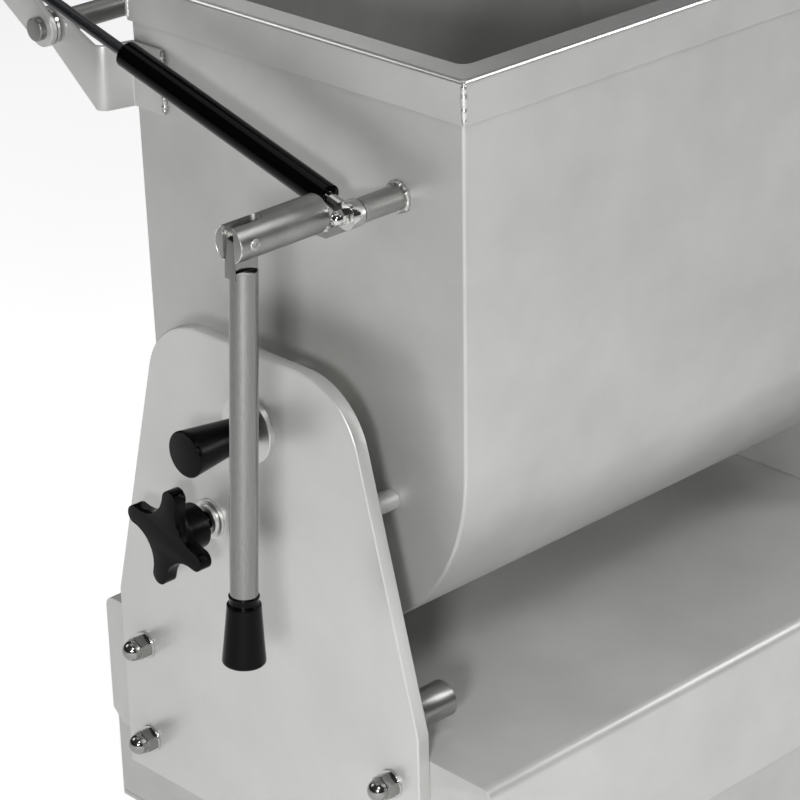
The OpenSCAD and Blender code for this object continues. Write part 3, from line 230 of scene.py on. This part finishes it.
finishes = {
    "sheet": blastedStainless("blastedStainlessSheet", blastedSheet),
    "coverSheet": blastedStainless("roughBlastedCoverSheet", blastedCover),
    "plateSheet": blastedStainless("blastedStainlessPlate", blastedPlate),
    "satinBar": blastedStainless("satinStainlessBar", satinBar),
    "barX": brushedStainless("brushedStainlessAlongX", brushedBar, "x"),
    "barZ": brushedStainless("brushedStainlessAlongZ", drawnBar, "z"),
    "groundPaintedHighlight": brushedStainless("groundStainlessEdgePaintedHighlight", groundEdgePaintedHighlight, "z"),
    "polished": polishedStainless("polishedStainless", polishedSteel),
    "polishPaintedDark": polishedStainless("polishedStainlessPaintedDark", nutSteelPaintedDark),
    "weld": tigWeld("brushedTigWeld", weldMetal),
    "blackPlastic": mouldedOrPainted("blackMouldedPlastic", blackMoulding),
    "blackPaint": mouldedOrPainted("blackEnamelledSteel", blackEnamel),
    "greyPaint": mouldedOrPainted("greyMachineEnamel", greyEnamel),
    "panel": mouldedOrPainted("darkPanelPlastic", panelMoulding),
    "green": mouldedOrPainted("greenMouldedPlastic", greenMoulding),
    "red": mouldedOrPainted("redMouldedPlastic", redMoulding),
    "pale": mouldedOrPainted("paleMouldedPlastic", paleMoulding),
    "bearing": mouldedOrPainted("naturalBearingPlastic", bearingPlastic),
    "rubber": mouldedOrPainted("blackMouldedRubber", mouldedRubber),
    "nitrided": mouldedOrPainted("blackNitridedRod", nitridedRod)}

nodeFinish = {
    "base_chassis": "sheet", "base_floor": "sheet", "base_cover": "coverSheet", "side_plate": "plateSheet",
    "column_shell": "sheet", "column_cover": "sheet", "tank_shell": "sheet", "tank_rim": "sheet",
    "hinge_bracket": "sheet", "hinge_bracket_rear": "sheet", "lid_panel": "sheet", "lid_arm": "sheet",
    "lid_arm_rear": "sheet", "bearing_plate": "sheet", "lock_quadrant": "sheet",
    "handle_post": "satinBar", "handle_lug": "satinBar", "handle_socket": "satinBar", "handle_arm": "barZ",
    "stub_trunnion": "groundPaintedHighlight", "drive_trunnion": "barX", "hinge_rod": "barX", "lid_handle": "polished",
    "mixing_shaft": "barX", "paddle_arms": "barX", "paddle_blades": "sheet", "drive_shaft": "barX",
    "release_pin": "polished", "stop_pin": "barX", "foot_studs": "barZ", "plate_studs": "barX",
    "plate_washers": "polished", "plate_nuts": "polishPaintedDark", "arm_pin": "polished", "strut_stud": "polished",
    "strut_washer": "polished", "strut_nut": "polished", "strut_rod": "polished", "strut_pin": "polished",
    "hinge_collars": "polished", "clamp_washers": "groundPaintedHighlight", "button_bezels": "polished",
    "star_knob": "blackPlastic", "release_knob": "blackPlastic", "arm_grip": "blackPlastic",
    "reverse_button": "blackPlastic", "strut_tube": "blackPaint", "feet": "rubber", "shaft_seal": "rubber",
    "stub_bush": "bearing", "drive_bush": "bearing", "gearbox": "greyPaint", "motor": "greyPaint",
    "control_panel": "panel", "fan_cowl": "panel", "cable_gland": "panel", "switch_box": "pale",
    "forward_button": "green", "stop_button": "red"}

for nodeName, node in frame["nodes"].items():
    node.data.materials.clear()
    node.data.materials.append(finishes[nodeFinish[nodeName]])
print("finishes set:", len(finishes))


# Camera, matched to the photograph's perspective
cameraSetting = {
    "place": (-1.489205, -1.474079, 1.2820),
    "forward": (0.62353, 0.66251, -0.41507),
    "right": (0.72008, -0.69343, -0.02508),
    "lens": 140.78, "sensor": 36.0}


def addCamera(setting):
    data = bpy.data.cameras.new("camera")
    data.lens = setting["lens"]
    data.sensor_width = setting["sensor"]
    data.clip_end = 50
    camera = bpy.data.objects.new("camera", data)
    forward = Vector(setting["forward"]).normalized()
    right = Vector(setting["right"]).normalized()
    up = right.cross(forward).normalized()
    turn = Matrix((right, up, -forward)).transposed()
    camera.matrix_world = Matrix.Translation(setting["place"]) @ turn.to_4x4()
    bpy.context.collection.objects.link(camera)
    bpy.context.scene.camera = camera


addCamera(cameraSetting)

# A place given in the drawing's millimetres: X from the tank's free end, Y from the tilt
# axis, Z from the floor
drawingZero = Vector((0.255805, 0.070279, 0))


def drawn(x, y, z):
    return Vector((x, y, z)) / 1000 - drawingZero


# The handle's axes and pin, in the drawing's millimetres: Y and Z of the post and of the
# socket, the pin's X, and the Y of the arm, which stands in front of its tongue's middle
postY, postZ = -97.6, 599.5
socketY, socketZ = -77.4, 598
pinX, armY = -111, -79.4
socketRadius = 12.5

bodyOfNode = {node: body for body, nodes in frame["record"]["behaviour"]["bodies"].items() for node in nodes}


def addPiece(name, work, body, finish, smooth=True):
    mesh = bpy.data.meshes.new(name)
    work.to_mesh(mesh)
    work.free()
    for polygon in mesh.polygons:
        polygon.use_smooth = smooth
    mesh.materials.append(finishes[finish])
    piece = bpy.data.objects.new(name, mesh)
    bpy.context.collection.objects.link(piece)
    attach(piece, body)
    return piece


# Skins a row of rings of vertices. Closed rows join up with their start, open ones get ends
def skinRings(work, rings, closed=False):
    for near, far in zip(rings, rings[1:] + rings[:1] if closed else rings[1:]):
        for i in range(len(near)):
            j = (i + 1) % len(near)
            work.faces.new((near[i], near[j], far[j], far[i]))
    if not closed:
        work.faces.new(reversed(rings[0]))
        work.faces.new(rings[-1])
    bmesh.ops.recalc_face_normals(work, faces=work.faces)


# Joins the triangles of each flat face into one. A small hole in it, which another part
# always fills, is closed; a face round a large opening stays as it is. Two triangles are
# flat together when the cosine between them is above flatShare. Faces are taken in the order
# of their index and outlines as they are met, so that each run gives the same mesh
coveredHole = {"share": 0.45, "mm": 140}
flatShare = 0.999995


def flatRegions(work):
    work.faces.index_update()
    done, flats = set(), []
    for first in work.faces:
        if first in done:
            continue
        flat, waiting = {first}, [first]
        while waiting:
            face = waiting.pop()
            for edge in face.edges:
                if len(edge.link_faces) != 2:
                    continue
                other = edge.link_faces[0] if edge.link_faces[1] is face else edge.link_faces[1]
                if other not in flat and other not in done and other.normal.dot(first.normal) > flatShare:
                    flat.add(other)
                    waiting.append(other)
        done |= flat
        if len(flat) > 1:
            flats.append(sorted(flat, key=lambda face: face.index))
    return flats


# The closed outlines round a flat region, each as its vertices in order, or nothing where
# they touch
def outlines(flat):
    inside, ends = set(flat), {}
    for face in flat:
        for edge in face.edges:
            if sum(other in inside for other in edge.link_faces) == 1:
                for vert in edge.verts:
                    ends.setdefault(vert, []).append(edge)
    if any(len(edges) != 2 for edges in ends.values()):
        return []
    found, used = [], set()
    for vert in ends:
        edge = ends[vert][0]
        loop = []
        while vert not in used:
            used.add(vert)
            loop.append(vert)
            vert = edge.other_vert(vert)
            edge = next(other for other in ends[vert] if other is not edge)
        if loop:
            found.append(loop)
    return found


def spread(loop):
    low = Vector(min(vert.co[i] for vert in loop) for i in range(3))
    high = Vector(max(vert.co[i] for vert in loop) for i in range(3))
    return (high - low).length


def joinFlatFaces(work):
    for flat in flatRegions(work):
        loops = sorted(outlines(flat), key=spread, reverse=True)
        if not loops:
            continue
        if len(loops) == 1:
            bmesh.ops.dissolve_faces(work, faces=flat, use_verts=False)
            continue
        widest = min(spread(loops[0]) * coveredHole["share"], coveredHole["mm"] / 1000)
        if spread(loops[1]) > widest:
            continue
        normal = flat[0].normal.copy()
        bmesh.ops.delete(work, geom=flat, context="FACES")
        face = work.faces.new(loops[0])
        face.normal_update()
        if face.normal.dot(normal) < 0:
            face.normal_flip()


# How each solid is finished at its sharp edges: rounding in millimetres, and for two of them
# a wider one, with a finish of its own, on the edges that a test picks
sameFace = 1e-5
rimBendDrop = 0.004
sharpEdge = math.radians(38)
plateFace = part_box("side_plate")[0][0]
tankEnds = (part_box("tank_shell")[0][0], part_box("tank_shell")[1][0])
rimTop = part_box("tank_rim")[1][2]


def onTankEnd(mid):
    toEnd = min(abs(mid.x - tankEnds[0]), abs(mid.x - tankEnds[1]))
    return toEnd < sameFace and mid.z < rimTop - rimBendDrop


def onPlateFace(mid):
    return abs(mid.x - plateFace) < sameFace


edgeMm = {
    "tank_shell": 0.6, "side_plate": 0.8, "base_cover": 0.7, "base_chassis": 1.2,
    "base_floor": 0.6, "column_shell": 1.5, "column_cover": 0.6, "hinge_bracket": 0.6,
    "hinge_bracket_rear": 0.6, "lid_panel": 0.6, "lid_arm": 0.8, "lid_arm_rear": 0.8,
    "handle_socket": 0.8, "handle_post": 0.5, "handle_arm": 0.5, "star_knob": 1.1,
    "release_knob": 1.2, "strut_tube": 1.0, "strut_rod": 0.5, "stub_trunnion": 0.6, "stop_pin": 0.8,
    "plate_nuts": 0.3, "strut_nut": 0.2, "plate_washers": 0.3, "clamp_washers": 0.4,
    "control_panel": 0.8, "forward_button": 0.8, "reverse_button": 0.8, "stop_button": 1.0,
    "button_bezels": 0.5, "paddle_blades": 1.0, "mixing_shaft": 0.8, "gearbox": 2.5, "motor": 0.5,
    "fan_cowl": 2.0, "switch_box": 2.0, "feet": 1.0, "cable_gland": 0.5, "lock_quadrant": 0.8,
    "hinge_rod": 0.8, "strut_pin": 0.2, "bearing_plate": 0.8}
widerEdges = {"tank_shell": (onTankEnd, 2.4, "sheet"), "side_plate": (onPlateFace, 1.2, "plateSheet")}


# A copy of a solid with its sharp edges rounded, which then stands for it
def roundedCopy(nodeName, widthMm):
    source = frame["nodes"][nodeName]
    mesh = source.data.copy()
    mesh.name = nodeName + "Rounded"
    work = bmesh.new()
    work.from_mesh(mesh)
    bmesh.ops.remove_doubles(work, verts=work.verts, dist=1e-6)
    joinFlatFaces(work)
    picked, widestMm, edgeFinish = widerEdges.get(nodeName, (None, widthMm, None))
    weight = work.edges.layers.float.new("bevel_weight_edge")
    for edge in work.edges:
        if len(edge.link_faces) == 2 and edge.calc_face_angle(0) > sharpEdge:
            mid = (edge.verts[0].co + edge.verts[1].co) / 2
            edge[weight] = 1 if picked is None or picked(mid) else widthMm / widestMm
    work.to_mesh(mesh)
    work.free()
    for polygon in mesh.polygons:
        polygon.use_smooth = True
    piece = bpy.data.objects.new(nodeName + "Rounded", mesh)
    bpy.context.collection.objects.link(piece)
    bevel = piece.modifiers.new("edges", "BEVEL")
    bevel.width = widestMm / 1000
    bevel.segments = 4 if picked else 3
    bevel.limit_method = "WEIGHT"
    bevel.use_clamp_overlap = picked is None
    bevel.harden_normals = True
    if picked:
        mesh.materials.append(finishes[edgeFinish])
        bevel.material = 1
    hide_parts(nodeName)
    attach(piece, bodyOfNode[nodeName])
    return piece


rounded = {name: roundedCopy(name, width) for name, width in edgeMm.items()}
print("edges rounded:", len(rounded))

# The handle's arm hangs from its pin, a little off plumb
armTurn = math.radians(3.4)
armWay = Vector((-math.sin(armTurn), 0, -math.cos(armTurn)))
armTop = drawn(pinX, armY, socketZ)

# The gas strut: its ends are polished fittings, its piston rod is nitrided black. Where each
# finish starts and stops is in millimetres from the strut's lower stud
strutFoot = drawn(-41, postY, postZ)
strutTurn = math.radians(15.0875)
strutWay = Vector((0, math.cos(strutTurn), math.sin(strutTurn)))
strutFinishes = {"strut_tube": (-20, 20.4, "polished"), "strut_rod": (100, 348, "nitrided")}


def finishAlongStrut(name, fromMm, toMm, finish):
    mesh = rounded[name].data
    mesh.materials.append(finishes[finish])
    for polygon in mesh.polygons:
        along = (polygon.center - strutFoot).dot(strutWay) * 1000
        if fromMm < along < toMm:
            polygon.material_index = len(mesh.materials) - 1


# Turned bars: where a piece's surface is a true cylinder, its shading follows the cylinder
# and not the long triangles of the solid. A facet counts as part of it when the cosine
# between the two is above roundShare
roundBars = {
    "handle_socket": (drawn(0, socketY, socketZ), Vector((1, 0, 0))),
    "handle_post": (strutFoot, Vector((1, 0, 0))),
    "handle_arm": (armTop, armWay),
    "strut_tube": (strutFoot, strutWay)}
roundShare = 0.985


def shadeRound(nodeName, start, way):
    piece = rounded[nodeName]
    depsgraph = bpy.context.evaluated_depsgraph_get()
    mesh = bpy.data.meshes.new_from_object(piece.evaluated_get(depsgraph))
    piece.modifiers.clear()
    piece.data = mesh
    normals = [corner.vector.copy() for corner in mesh.corner_normals]
    for polygon in mesh.polygons:
        for corner in polygon.loop_indices:
            offset = mesh.vertices[mesh.loops[corner].vertex_index].co - start
            out = (offset - way * offset.dot(way)).normalized()
            if polygon.normal.dot(out) > roundShare:
                normals[corner] = out
    mesh.normals_split_custom_set(normals)


for barName, (barStart, barWay) in roundBars.items():
    shadeRound(barName, barStart, barWay)
for strutName, (fromMm, toMm, strutFinish) in strutFinishes.items():
    finishAlongStrut(strutName, fromMm, toMm, strutFinish)


# A frame of bent sheet round a rectangle. Each level of its section is given as how far in
# from the outer face it lies, its height and the radius of its corners, all in millimetres
def cornerPoints(low, high, level, count):
    inset, height, radius = level
    points = []
    corners = ((high[0], high[1]), (low[0], high[1]), (low[0], low[1]), (high[0], low[1]))
    for corner, (x, y) in enumerate(corners):
        sideX = 1 if corner in (0, 3) else -1
        sideY = 1 if corner in (0, 1) else -1
        centreX = x - sideX * (inset + radius)
        centreY = y - sideY * (inset + radius)
        for i in range(count + 1):
            turn = math.radians(90 * corner + 90 * i / count)
            points.append(drawn(centreX + radius * math.cos(turn), centreY + radius * math.sin(turn), height))
    return points


def bentFrame(name, body, low, high, levels, finish, count=6):
    work = bmesh.new()
    rings = [[work.verts.new(p) for p in cornerPoints(low, high, level, count)] for level in levels]
    skinRings(work, rings, closed=True)
    return addPiece(name, work, body, finish)


# Rim: top flange 21 mm wide, outer face 28.5 mm high, in 2 mm sheet bent over a 3 mm radius.
# The bend is ground, and its pale finish is a painted highlight along it: facets that lean between these
# shares of upright take that finish
rimLook = {"low": (-2, -157.5), "high": (434, 157.5), "top": 687.5, "drop": 28.5, "flange": 21,
    "sheet": 2, "bend": 3, "bendSteps": 6, "corner": 1.4, "mouth": 8, "soft": 0.3, "groundPaintedHighlight": (0.3, 0.985)}


def rimLevels(look):
    top, sheet, bend, soft = (look[k] for k in ("top", "sheet", "bend", "soft"))
    low = top - look["drop"]
    corner, mouth, flange = look["corner"], look["mouth"], look["flange"]
    levels = [(sheet - soft, low, 0.2), (soft, low, corner), (0, low + soft, corner),
        (0, low + 2 * soft, corner), (0, top - bend - 1, corner)]
    for i in range(look["bendSteps"] + 1):
        turn = math.radians(90 * i / look["bendSteps"])
        levels.append((bend - bend * math.cos(turn), top - bend + bend * math.sin(turn), corner + i * 0.2))
    levels += [(bend + 1, top, corner + 1.5), (flange - 3, top, mouth), (flange - 2 * soft, top, mouth),
        (flange - soft, top, mouth), (flange, top - soft, mouth), (flange, top - sheet + soft, mouth),
        (flange - soft, top - sheet, mouth), (flange - 3, top - sheet, mouth), (sheet + 1, top - sheet, 1),
        (sheet, top - sheet - 1, 0.4), (sheet, low + 2 * soft, 0.2), (sheet, low + soft, 0.2)]
    return levels


rimPiece = bentFrame("rimFrame", "tank", rimLook["low"], rimLook["high"], rimLevels(rimLook),
    "sheet")
rimPiece.data.materials.append(finishes["groundPaintedHighlight"])
for polygon in rimPiece.data.polygons:
    lean = polygon.normal.z
    if rimLook["groundPaintedHighlight"][0] < lean < rimLook["groundPaintedHighlight"][1] and polygon.center.z > rimTop - rimBendDrop:
        polygon.material_index = 1
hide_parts("tank_rim")


# A turned or moulded piece from its half outline: distance along its axis and radius, in
# millimetres, from the place where it starts
def turnedPiece(name, body, start, way, outline, finish, sides=64):
    side = way.orthogonal().normalized()
    up = way.cross(side)
    work = bmesh.new()
    rings = []
    for along, radius in outline:
        centre = start + way * along / 1000
        rings.append([work.verts.new(centre + radius / 1000 * (math.cos(math.tau * i / sides) * side
            + math.sin(math.tau * i / sides) * up)) for i in range(sides)])
    skinRings(work, rings)
    return addPiece(name, work, body, finish)


# Grip moulded on the arm: a short neck with a lip, a shoulder, then a flare to a rounded end
gripDownMm = 233
gripOutline = [(0, 9.2), (0.1, 9.5), (0.5, 9.9), (1, 10), (1.5, 9.9), (1.9, 9.6), (2.3, 9.5), (5.2, 9.5),
    (5.8, 9.6), (6, 9.9), (6.1, 10.5), (6.4, 10.9), (7, 11.1), (9, 11.2), (16, 11.7), (26, 12.5), (36, 13.3),
    (44, 14), (45.5, 14.1), (46.5, 13.8), (47.3, 13), (47.8, 11.8), (48, 10), (48, 4), (48, 0.5)]
gripPiece = turnedPiece("armGripBody", "arm", armTop + armWay * gripDownMm / 1000, armWay, gripOutline,
    "blackPlastic")
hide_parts("arm_grip")

# The lug under the post: its ring, at these millimetres from the post's axis, is drawn in to
# the post's surface, so that it doesn't stand out behind the post
lugLook = {"post": 8.05, "ring": (10.3, 11.8)}


def trimmedLug(look):
    source = frame["nodes"]["handle_lug"]
    mesh = source.data.copy()
    axis = drawn(0, postY, postZ)
    low, high = look["ring"]
    for vert in mesh.vertices:
        out = Vector((0, vert.co.y - axis.y, vert.co.z - axis.z))
        if low < out.length * 1000 < high:
            vert.co += out.normalized() * (look["post"] / 1000 - out.length)
    piece = bpy.data.objects.new("handleLugTrimmed", mesh)
    bpy.context.collection.objects.link(piece)
    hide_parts("handle_lug")
    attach(piece, bodyOfNode["handle_lug"])


trimmedLug(lugLook)


# Weld beads: overlapping ripples, half sunk in the corner that they fill. Steps, ripples and
# swell are shares of the bead's radius. No bead runs along offBead, so it can serve to turn
# the rings
weldLook = {"step": 0.3, "ripple": 1.5, "low": 0.84, "crest": 0.2, "sides": 12, "noise": 0.36,
    "noiseMm": 3.4}
offBead = Vector((0.31, 0.52, 0.79))


def weldBead(name, body, points, radiusMm, closed=False, ripples=1.0, finish="weld"):
    radius = radiusMm / 1000
    step = radius * weldLook["step"]
    path = []
    ends = list(zip(points, points[1:] + points[:1])) if closed else list(zip(points, points[1:]))
    for a, b in ends:
        count = max(1, round((b - a).length / step))
        path += [a.lerp(b, i / count) for i in range(count)]
    if not closed:
        path.append(points[-1])
    work = bmesh.new()
    rings, travelled = [], 0
    for i, place in enumerate(path):
        before = path[i - 1] if closed or i else place
        after = path[(i + 1) % len(path)] if closed or i + 1 < len(path) else place
        way = (after - before).normalized()
        side = way.cross(offBead).normalized()
        up = way.cross(side)
        travelled += (place - path[i - 1]).length if i else 0
        ripple = travelled / (radius * weldLook["ripple"]) % 1
        swell = radius * (weldLook["low"] + weldLook["crest"] * ripples * math.sin(math.pi * ripple))
        swell *= 1 + weldLook["noise"] * noise.noise(place * perMetre(weldLook["noiseMm"]))
        if not closed:
            toEnd = min(i, len(path) - 1 - i) * step
            swell *= math.sqrt(min(1, (toEnd + step / 2) / radius))
        ring = []
        for j in range(weldLook["sides"]):
            turn = math.tau * j / weldLook["sides"]
            ring.append(work.verts.new(place + swell * (math.cos(turn) * side + math.sin(turn) * up)))
        rings.append(ring)
    skinRings(work, rings, closed)
    return addPiece(name, work, body, finish)


# Peened end of a pin: a low head hammered out of round. Each ring has its shares of the
# head's radius and of its rise, and the domed rings are the rough ones
peenLook = {"rings": ((1.12, -0.3), (1.12, 0.15), (1.0, 0.6), (0.75, 0.85), (0.45, 0.55), (0.15, 0.7)),
    "sides": 40, "radius": 3.5, "rise": 1.3, "roundness": 0.09, "dents": 0.35, "grain": 2.7}


def peenedHead(name, body, centre, way, look):
    side = way.orthogonal().normalized()
    up = way.cross(side)
    sides = look["sides"]
    work = bmesh.new()
    rings = []
    for ring, (share, rise) in enumerate(look["rings"]):
        verts = []
        for i in range(sides):
            turn = math.tau * i / sides
            edge = math.cos(turn) * side + math.sin(turn) * up
            rough = noise.noise(edge * look["grain"] + Vector((ring * 0.3, 0, 7)))
            out = look["radius"] * share * (1 + look["roundness"] * rough) / 1000
            lift = look["rise"] * (rise + look["dents"] * rough * (ring > 1)) / 1000
            verts.append(work.verts.new(centre + out * edge + way * lift))
        rings.append(verts)
    skinRings(work, rings)
    return addPiece(name, work, body, "weld")


# Points along an arc about the X direction, from the back (0 degrees) over the top
def ringPoints(x, y, z, radiusMm, count=28, fromTurn=0, toTurn=360):
    turns = [math.radians(fromTurn + (toTurn - fromTurn) * i / count) for i in range(count)]
    return [drawn(x, y + radiusMm * math.cos(turn), z + radiusMm * math.sin(turn)) for turn in turns]


weldBead("postWeld", "tank", ringPoints(-0.6, postY, postZ, radiusMm=8.6), radiusMm=2.3, closed=True)
weldBead("socketWeld", "tank", ringPoints(-50.6, socketY, socketZ, radiusMm=11.4, count=14, fromTurn=200,
    toTurn=330), radiusMm=2.2)
weldBead("bracketWeld", "tank", [drawn(-1.4, 123.3, 601.5), drawn(-1.4, 123.3, 644.5)], radiusMm=2.1)
weldBead("stopPinWeld", "frame", ringPoints(-35.6, -132.5, 262.8, radiusMm=12.9), radiusMm=1.5,
    closed=True)

# The socket's cheeks end in a dressed, rounded edge in the pale ground finish, a painted highlight that shows
# it as a thin bright line
cheekEdge = {"out": 0.35, "inside": 0.5, "half": 68, "count": 30, "radius": 0.6, "ripples": 0.02}
cheekX = (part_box("handle_socket")[0][0] + drawingZero.x) * 1000 + cheekEdge["out"]
for cheek, middle in (("Near", 180), ("Far", 0)):
    arc = ringPoints(cheekX, socketY, socketZ, socketRadius - cheekEdge["inside"], cheekEdge["count"],
        middle - cheekEdge["half"], middle + cheekEdge["half"])
    weldBead(f"socketEdge{cheek}", "tank", arc, cheekEdge["radius"], ripples=cheekEdge["ripples"],
        finish="groundPaintedHighlight")

# The corners of the rim are welded and ground down to a low bead, whose pale finish is a painted highlight
rimCorners = ((-0.8, -156.3), (-0.8, 156.3), (432.8, -156.3), (432.8, 156.3))
for corner, (x, y) in enumerate(rimCorners):
    weldBead(f"rimWeld{corner}", "tank", [drawn(x, y, 660.2), drawn(x, y, 685.4)], radiusMm=2.3,
        ripples=0.3, finish="groundPaintedHighlight")

for end, sign in (("Front", -1), ("Back", 1)):
    peenedHead(f"armPin{end}", "tank", drawn(pinX, socketY + sign * (socketRadius - 0.1), socketZ),
        Vector((0, sign, 0)), peenLook)
print("welds laid")


# The column's cover and back as such machines have them: button screws, pressed louvres
# that let the motor's warm air out, and a plain plate on two rivets. Places are in the
# drawing's millimetres, and a louvre is given as its length, height and rise
screwOutline = [(-0.3, 4.9), (1.1, 4.8), (2.0, 4.2), (2.5, 3.2), (2.6, 2.5), (2.5, 2.2),
    (0.7, 2.1), (0.7, 0.1)]
rivetOutline = [(-0.2, 2.2), (0.4, 2.1), (0.9, 1.5), (1.1, 0.6), (1.1, 0.05)]
columnLook = {
    "cover": 653.5, "back": 115, "middle": 549,
    "screwY": (-100, 100), "screwZ": (252, 440, 630), "screwSides": 24,
    "louvre": (82, 9, 4.2), "top": 560, "step": 17, "count": 7,
    "slotDrop": 4, "slotLength": 0.07, "slotHeight": 0.0022, "slotThickness": 0.0006,
    "plateZ": 320, "plateSize": (0.0012, 0.09, 0.05), "rivetY": (-40, 40), "rivetSides": 20}

# Section of a louvre from its top edge over the hood and back inside: up, in shares of its
# height, and out, in shares of its rise
louvreSection = ((0.5, -0.06), (0.4, 0.2), (0.1, 0.72), (-0.25, 0.95), (-0.48, 1.0), (-0.5, 0.96),
    (-0.5, 0.78), (-0.46, 0.7), (-0.2, 0.2), (0.1, -0.06))
louvreSteps = 24


# One louvre: a hood pressed out of the sheet, open at its lower edge
def pressedLouvre(name, body, centre, along, out, sizesMm):
    length, height, rise = (value / 1000 for value in sizesMm)
    up = Vector((0, 0, 1))
    work = bmesh.new()
    rings = []
    for i in range(louvreSteps + 1):
        u = 2 * i / louvreSteps - 1
        swell = max(0.02, (1 - u ** 4) ** 0.5)
        middle = centre + along * u * length / 2
        tall = height * (0.6 + 0.4 * swell)
        rings.append([work.verts.new(middle + up * z * tall + out * y * rise * swell)
            for z, y in louvreSection])
    skinRings(work, rings)
    return addPiece(name, work, body, "sheet")


def plainBox(name, body, centre, size, finish):
    edge = min(0.0008, min(size) * 0.3)
    work = bmesh.new()
    bmesh.ops.create_cube(work, size=1, matrix=Matrix.Translation(centre) @ Matrix.Diagonal((*size, 1)))
    bmesh.ops.bevel(work, geom=list(work.edges), offset=edge, segments=2, affect="EDGES")
    return addPiece(name, work, body, finish, smooth=False)


def dressColumn(look):
    toCover, toBack = Vector((1, 0, 0)), Vector((0, 1, 0))
    cover, back, middle = look["cover"], look["back"], look["middle"]
    thick, wide, high = look["slotThickness"], look["slotLength"], look["slotHeight"]
    for column, y in enumerate(look["screwY"]):
        for row, z in enumerate(look["screwZ"]):
            turnedPiece(f"coverScrew{column}{row}", "frame", drawn(cover, y, z), toCover, screwOutline,
                "polished", look["screwSides"])
    for row in range(look["count"]):
        z = look["top"] - look["step"] * row
        slotZ = z - look["slotDrop"]
        pressedLouvre(f"coverLouvre{row}", "frame", drawn(cover, 0, z), toBack, toCover, look["louvre"])
        pressedLouvre(f"backLouvre{row}", "frame", drawn(middle, back, z), toCover, toBack, look["louvre"])
        # A thin dark box in each louvre's opening is painted shade, for the dark slot behind the hood
        plainBox(f"coverSlotShade{row}", "frame", drawn(cover + 0.1, 0, slotZ), (thick, wide, high), "rubber")
        plainBox(f"backSlotShade{row}", "frame", drawn(middle, back + 0.1, slotZ), (wide, thick, high), "rubber")
    plateZ = look["plateZ"]
    plainBox("blankPlate", "frame", drawn(cover + 0.4, 0, plateZ), look["plateSize"], "groundPaintedHighlight")
    for end, y in enumerate(look["rivetY"]):
        turnedPiece(f"plateRivet{end}", "frame", drawn(cover + 0.9, y, plateZ), toCover, rivetOutline,
            "polished", look["rivetSides"])


dressColumn(columnLook)
print("column dressed")


# Plain pale floor: white acrylic, lit a little from beneath as a photographer's table is.
# It is seen a little brighter than it lights the steel, as a burnt-out white background is
floorLook = {"half": 12, "paint": "#F4F4F4", "rough": 0.7, "onSteel": 0.31, "seen": 0.62}


def addFloor(look):
    mesh = bpy.data.meshes.new("floor")
    half = look["half"]
    mesh.from_pydata([(-half, -half, 0), (half, -half, 0), (half, half, 0), (-half, half, 0)], [],
        [(0, 1, 2, 3)])
    floor = bpy.data.objects.new("floor", mesh)
    bpy.context.collection.objects.link(floor)
    material, tree = newMaterial("paleFloor")
    ray = addNode(tree, "ShaderNodeLightPath")
    glow = addNode(tree, "ShaderNodeMapRange", {"To Min": look["onSteel"], "To Max": look["seen"]},
        {"Value": ray.outputs["Is Camera Ray"]})
    paint = addNode(tree, "ShaderNodeBsdfPrincipled",
        {"Base Color": hexColour(look["paint"]), "Roughness": look["rough"],
         "Emission Color": hexColour("#FFFFFF")}, {"Emission Strength": glow.outputs["Result"]})
    addNode(tree, "ShaderNodeOutputMaterial", links={"Surface": paint.outputs["BSDF"]})
    mesh.materials.append(material)


addFloor(floorLook)

# Softboxes: place, size and power in watts. All point at the machine's middle
softboxTarget = Vector((0, -0.05, 0.45))
softboxes = {
    "key": {"place": (-2.4, -1.88, 1.3), "size": (0.35, 0.35), "power": 53},
    "highFront": {"place": (-1.5, -1.9, 2.8), "size": (0.8, 0.6), "power": 17},
    "highRight": {"place": (1.9, -1.6, 2.3), "size": (1.2, 1.2), "power": 30},
    "backLeft": {"place": (-1.4, 2.2, 2.3), "size": (1.2, 1.2), "power": 11},
    "overhead": {"place": (0.1, 0.3, 3.0), "size": (2.2, 1.6), "power": 8}}


def addSoftbox(name, box):
    data = bpy.data.lights.new(name, "AREA")
    data.shape = "RECTANGLE"
    data.size, data.size_y = box["size"]
    data.energy = box["power"]
    lamp = bpy.data.objects.new(name, data)
    lamp.location = box["place"]
    lamp.rotation_euler = (softboxTarget - lamp.location).to_track_quat("-Z", "Y").to_euler()
    bpy.context.collection.objects.link(lamp)


for boxName, box in softboxes.items():
    addSoftbox(boxName, box)


# A dim studio room, a little paler overhead, so that bright steel has something dark to mirror
roomTones = ((0.5, "#303030"), (0.85, "#484848"))


def addSurroundings():
    world = bpy.data.worlds.new("studio")
    bpy.context.scene.world = world
    world.use_nodes = True
    tree = world.node_tree
    tree.nodes.clear()
    place = addNode(tree, "ShaderNodeTexCoord")
    split = addNode(tree, "ShaderNodeSeparateXYZ", links={"Vector": place.outputs["Generated"]})
    lift = addNode(tree, "ShaderNodeMapRange", {"From Min": -1.0, "From Max": 1.0},
        {"Value": split.outputs["Z"]})
    ramp = addNode(tree, "ShaderNodeValToRGB", links={"Fac": lift.outputs["Result"]})
    for element, (position, tone) in zip(ramp.color_ramp.elements, roomTones):
        element.position = position
        element.color = hexColour(tone)
    light = addNode(tree, "ShaderNodeBackground", {"Strength": 1.0}, {"Color": ramp.outputs["Color"]})
    addNode(tree, "ShaderNodeOutputWorld", links={"Surface": light.outputs["Background"]})


addSurroundings()
bpy.context.scene.view_settings.view_transform = "Standard"
print("stage and lights set")
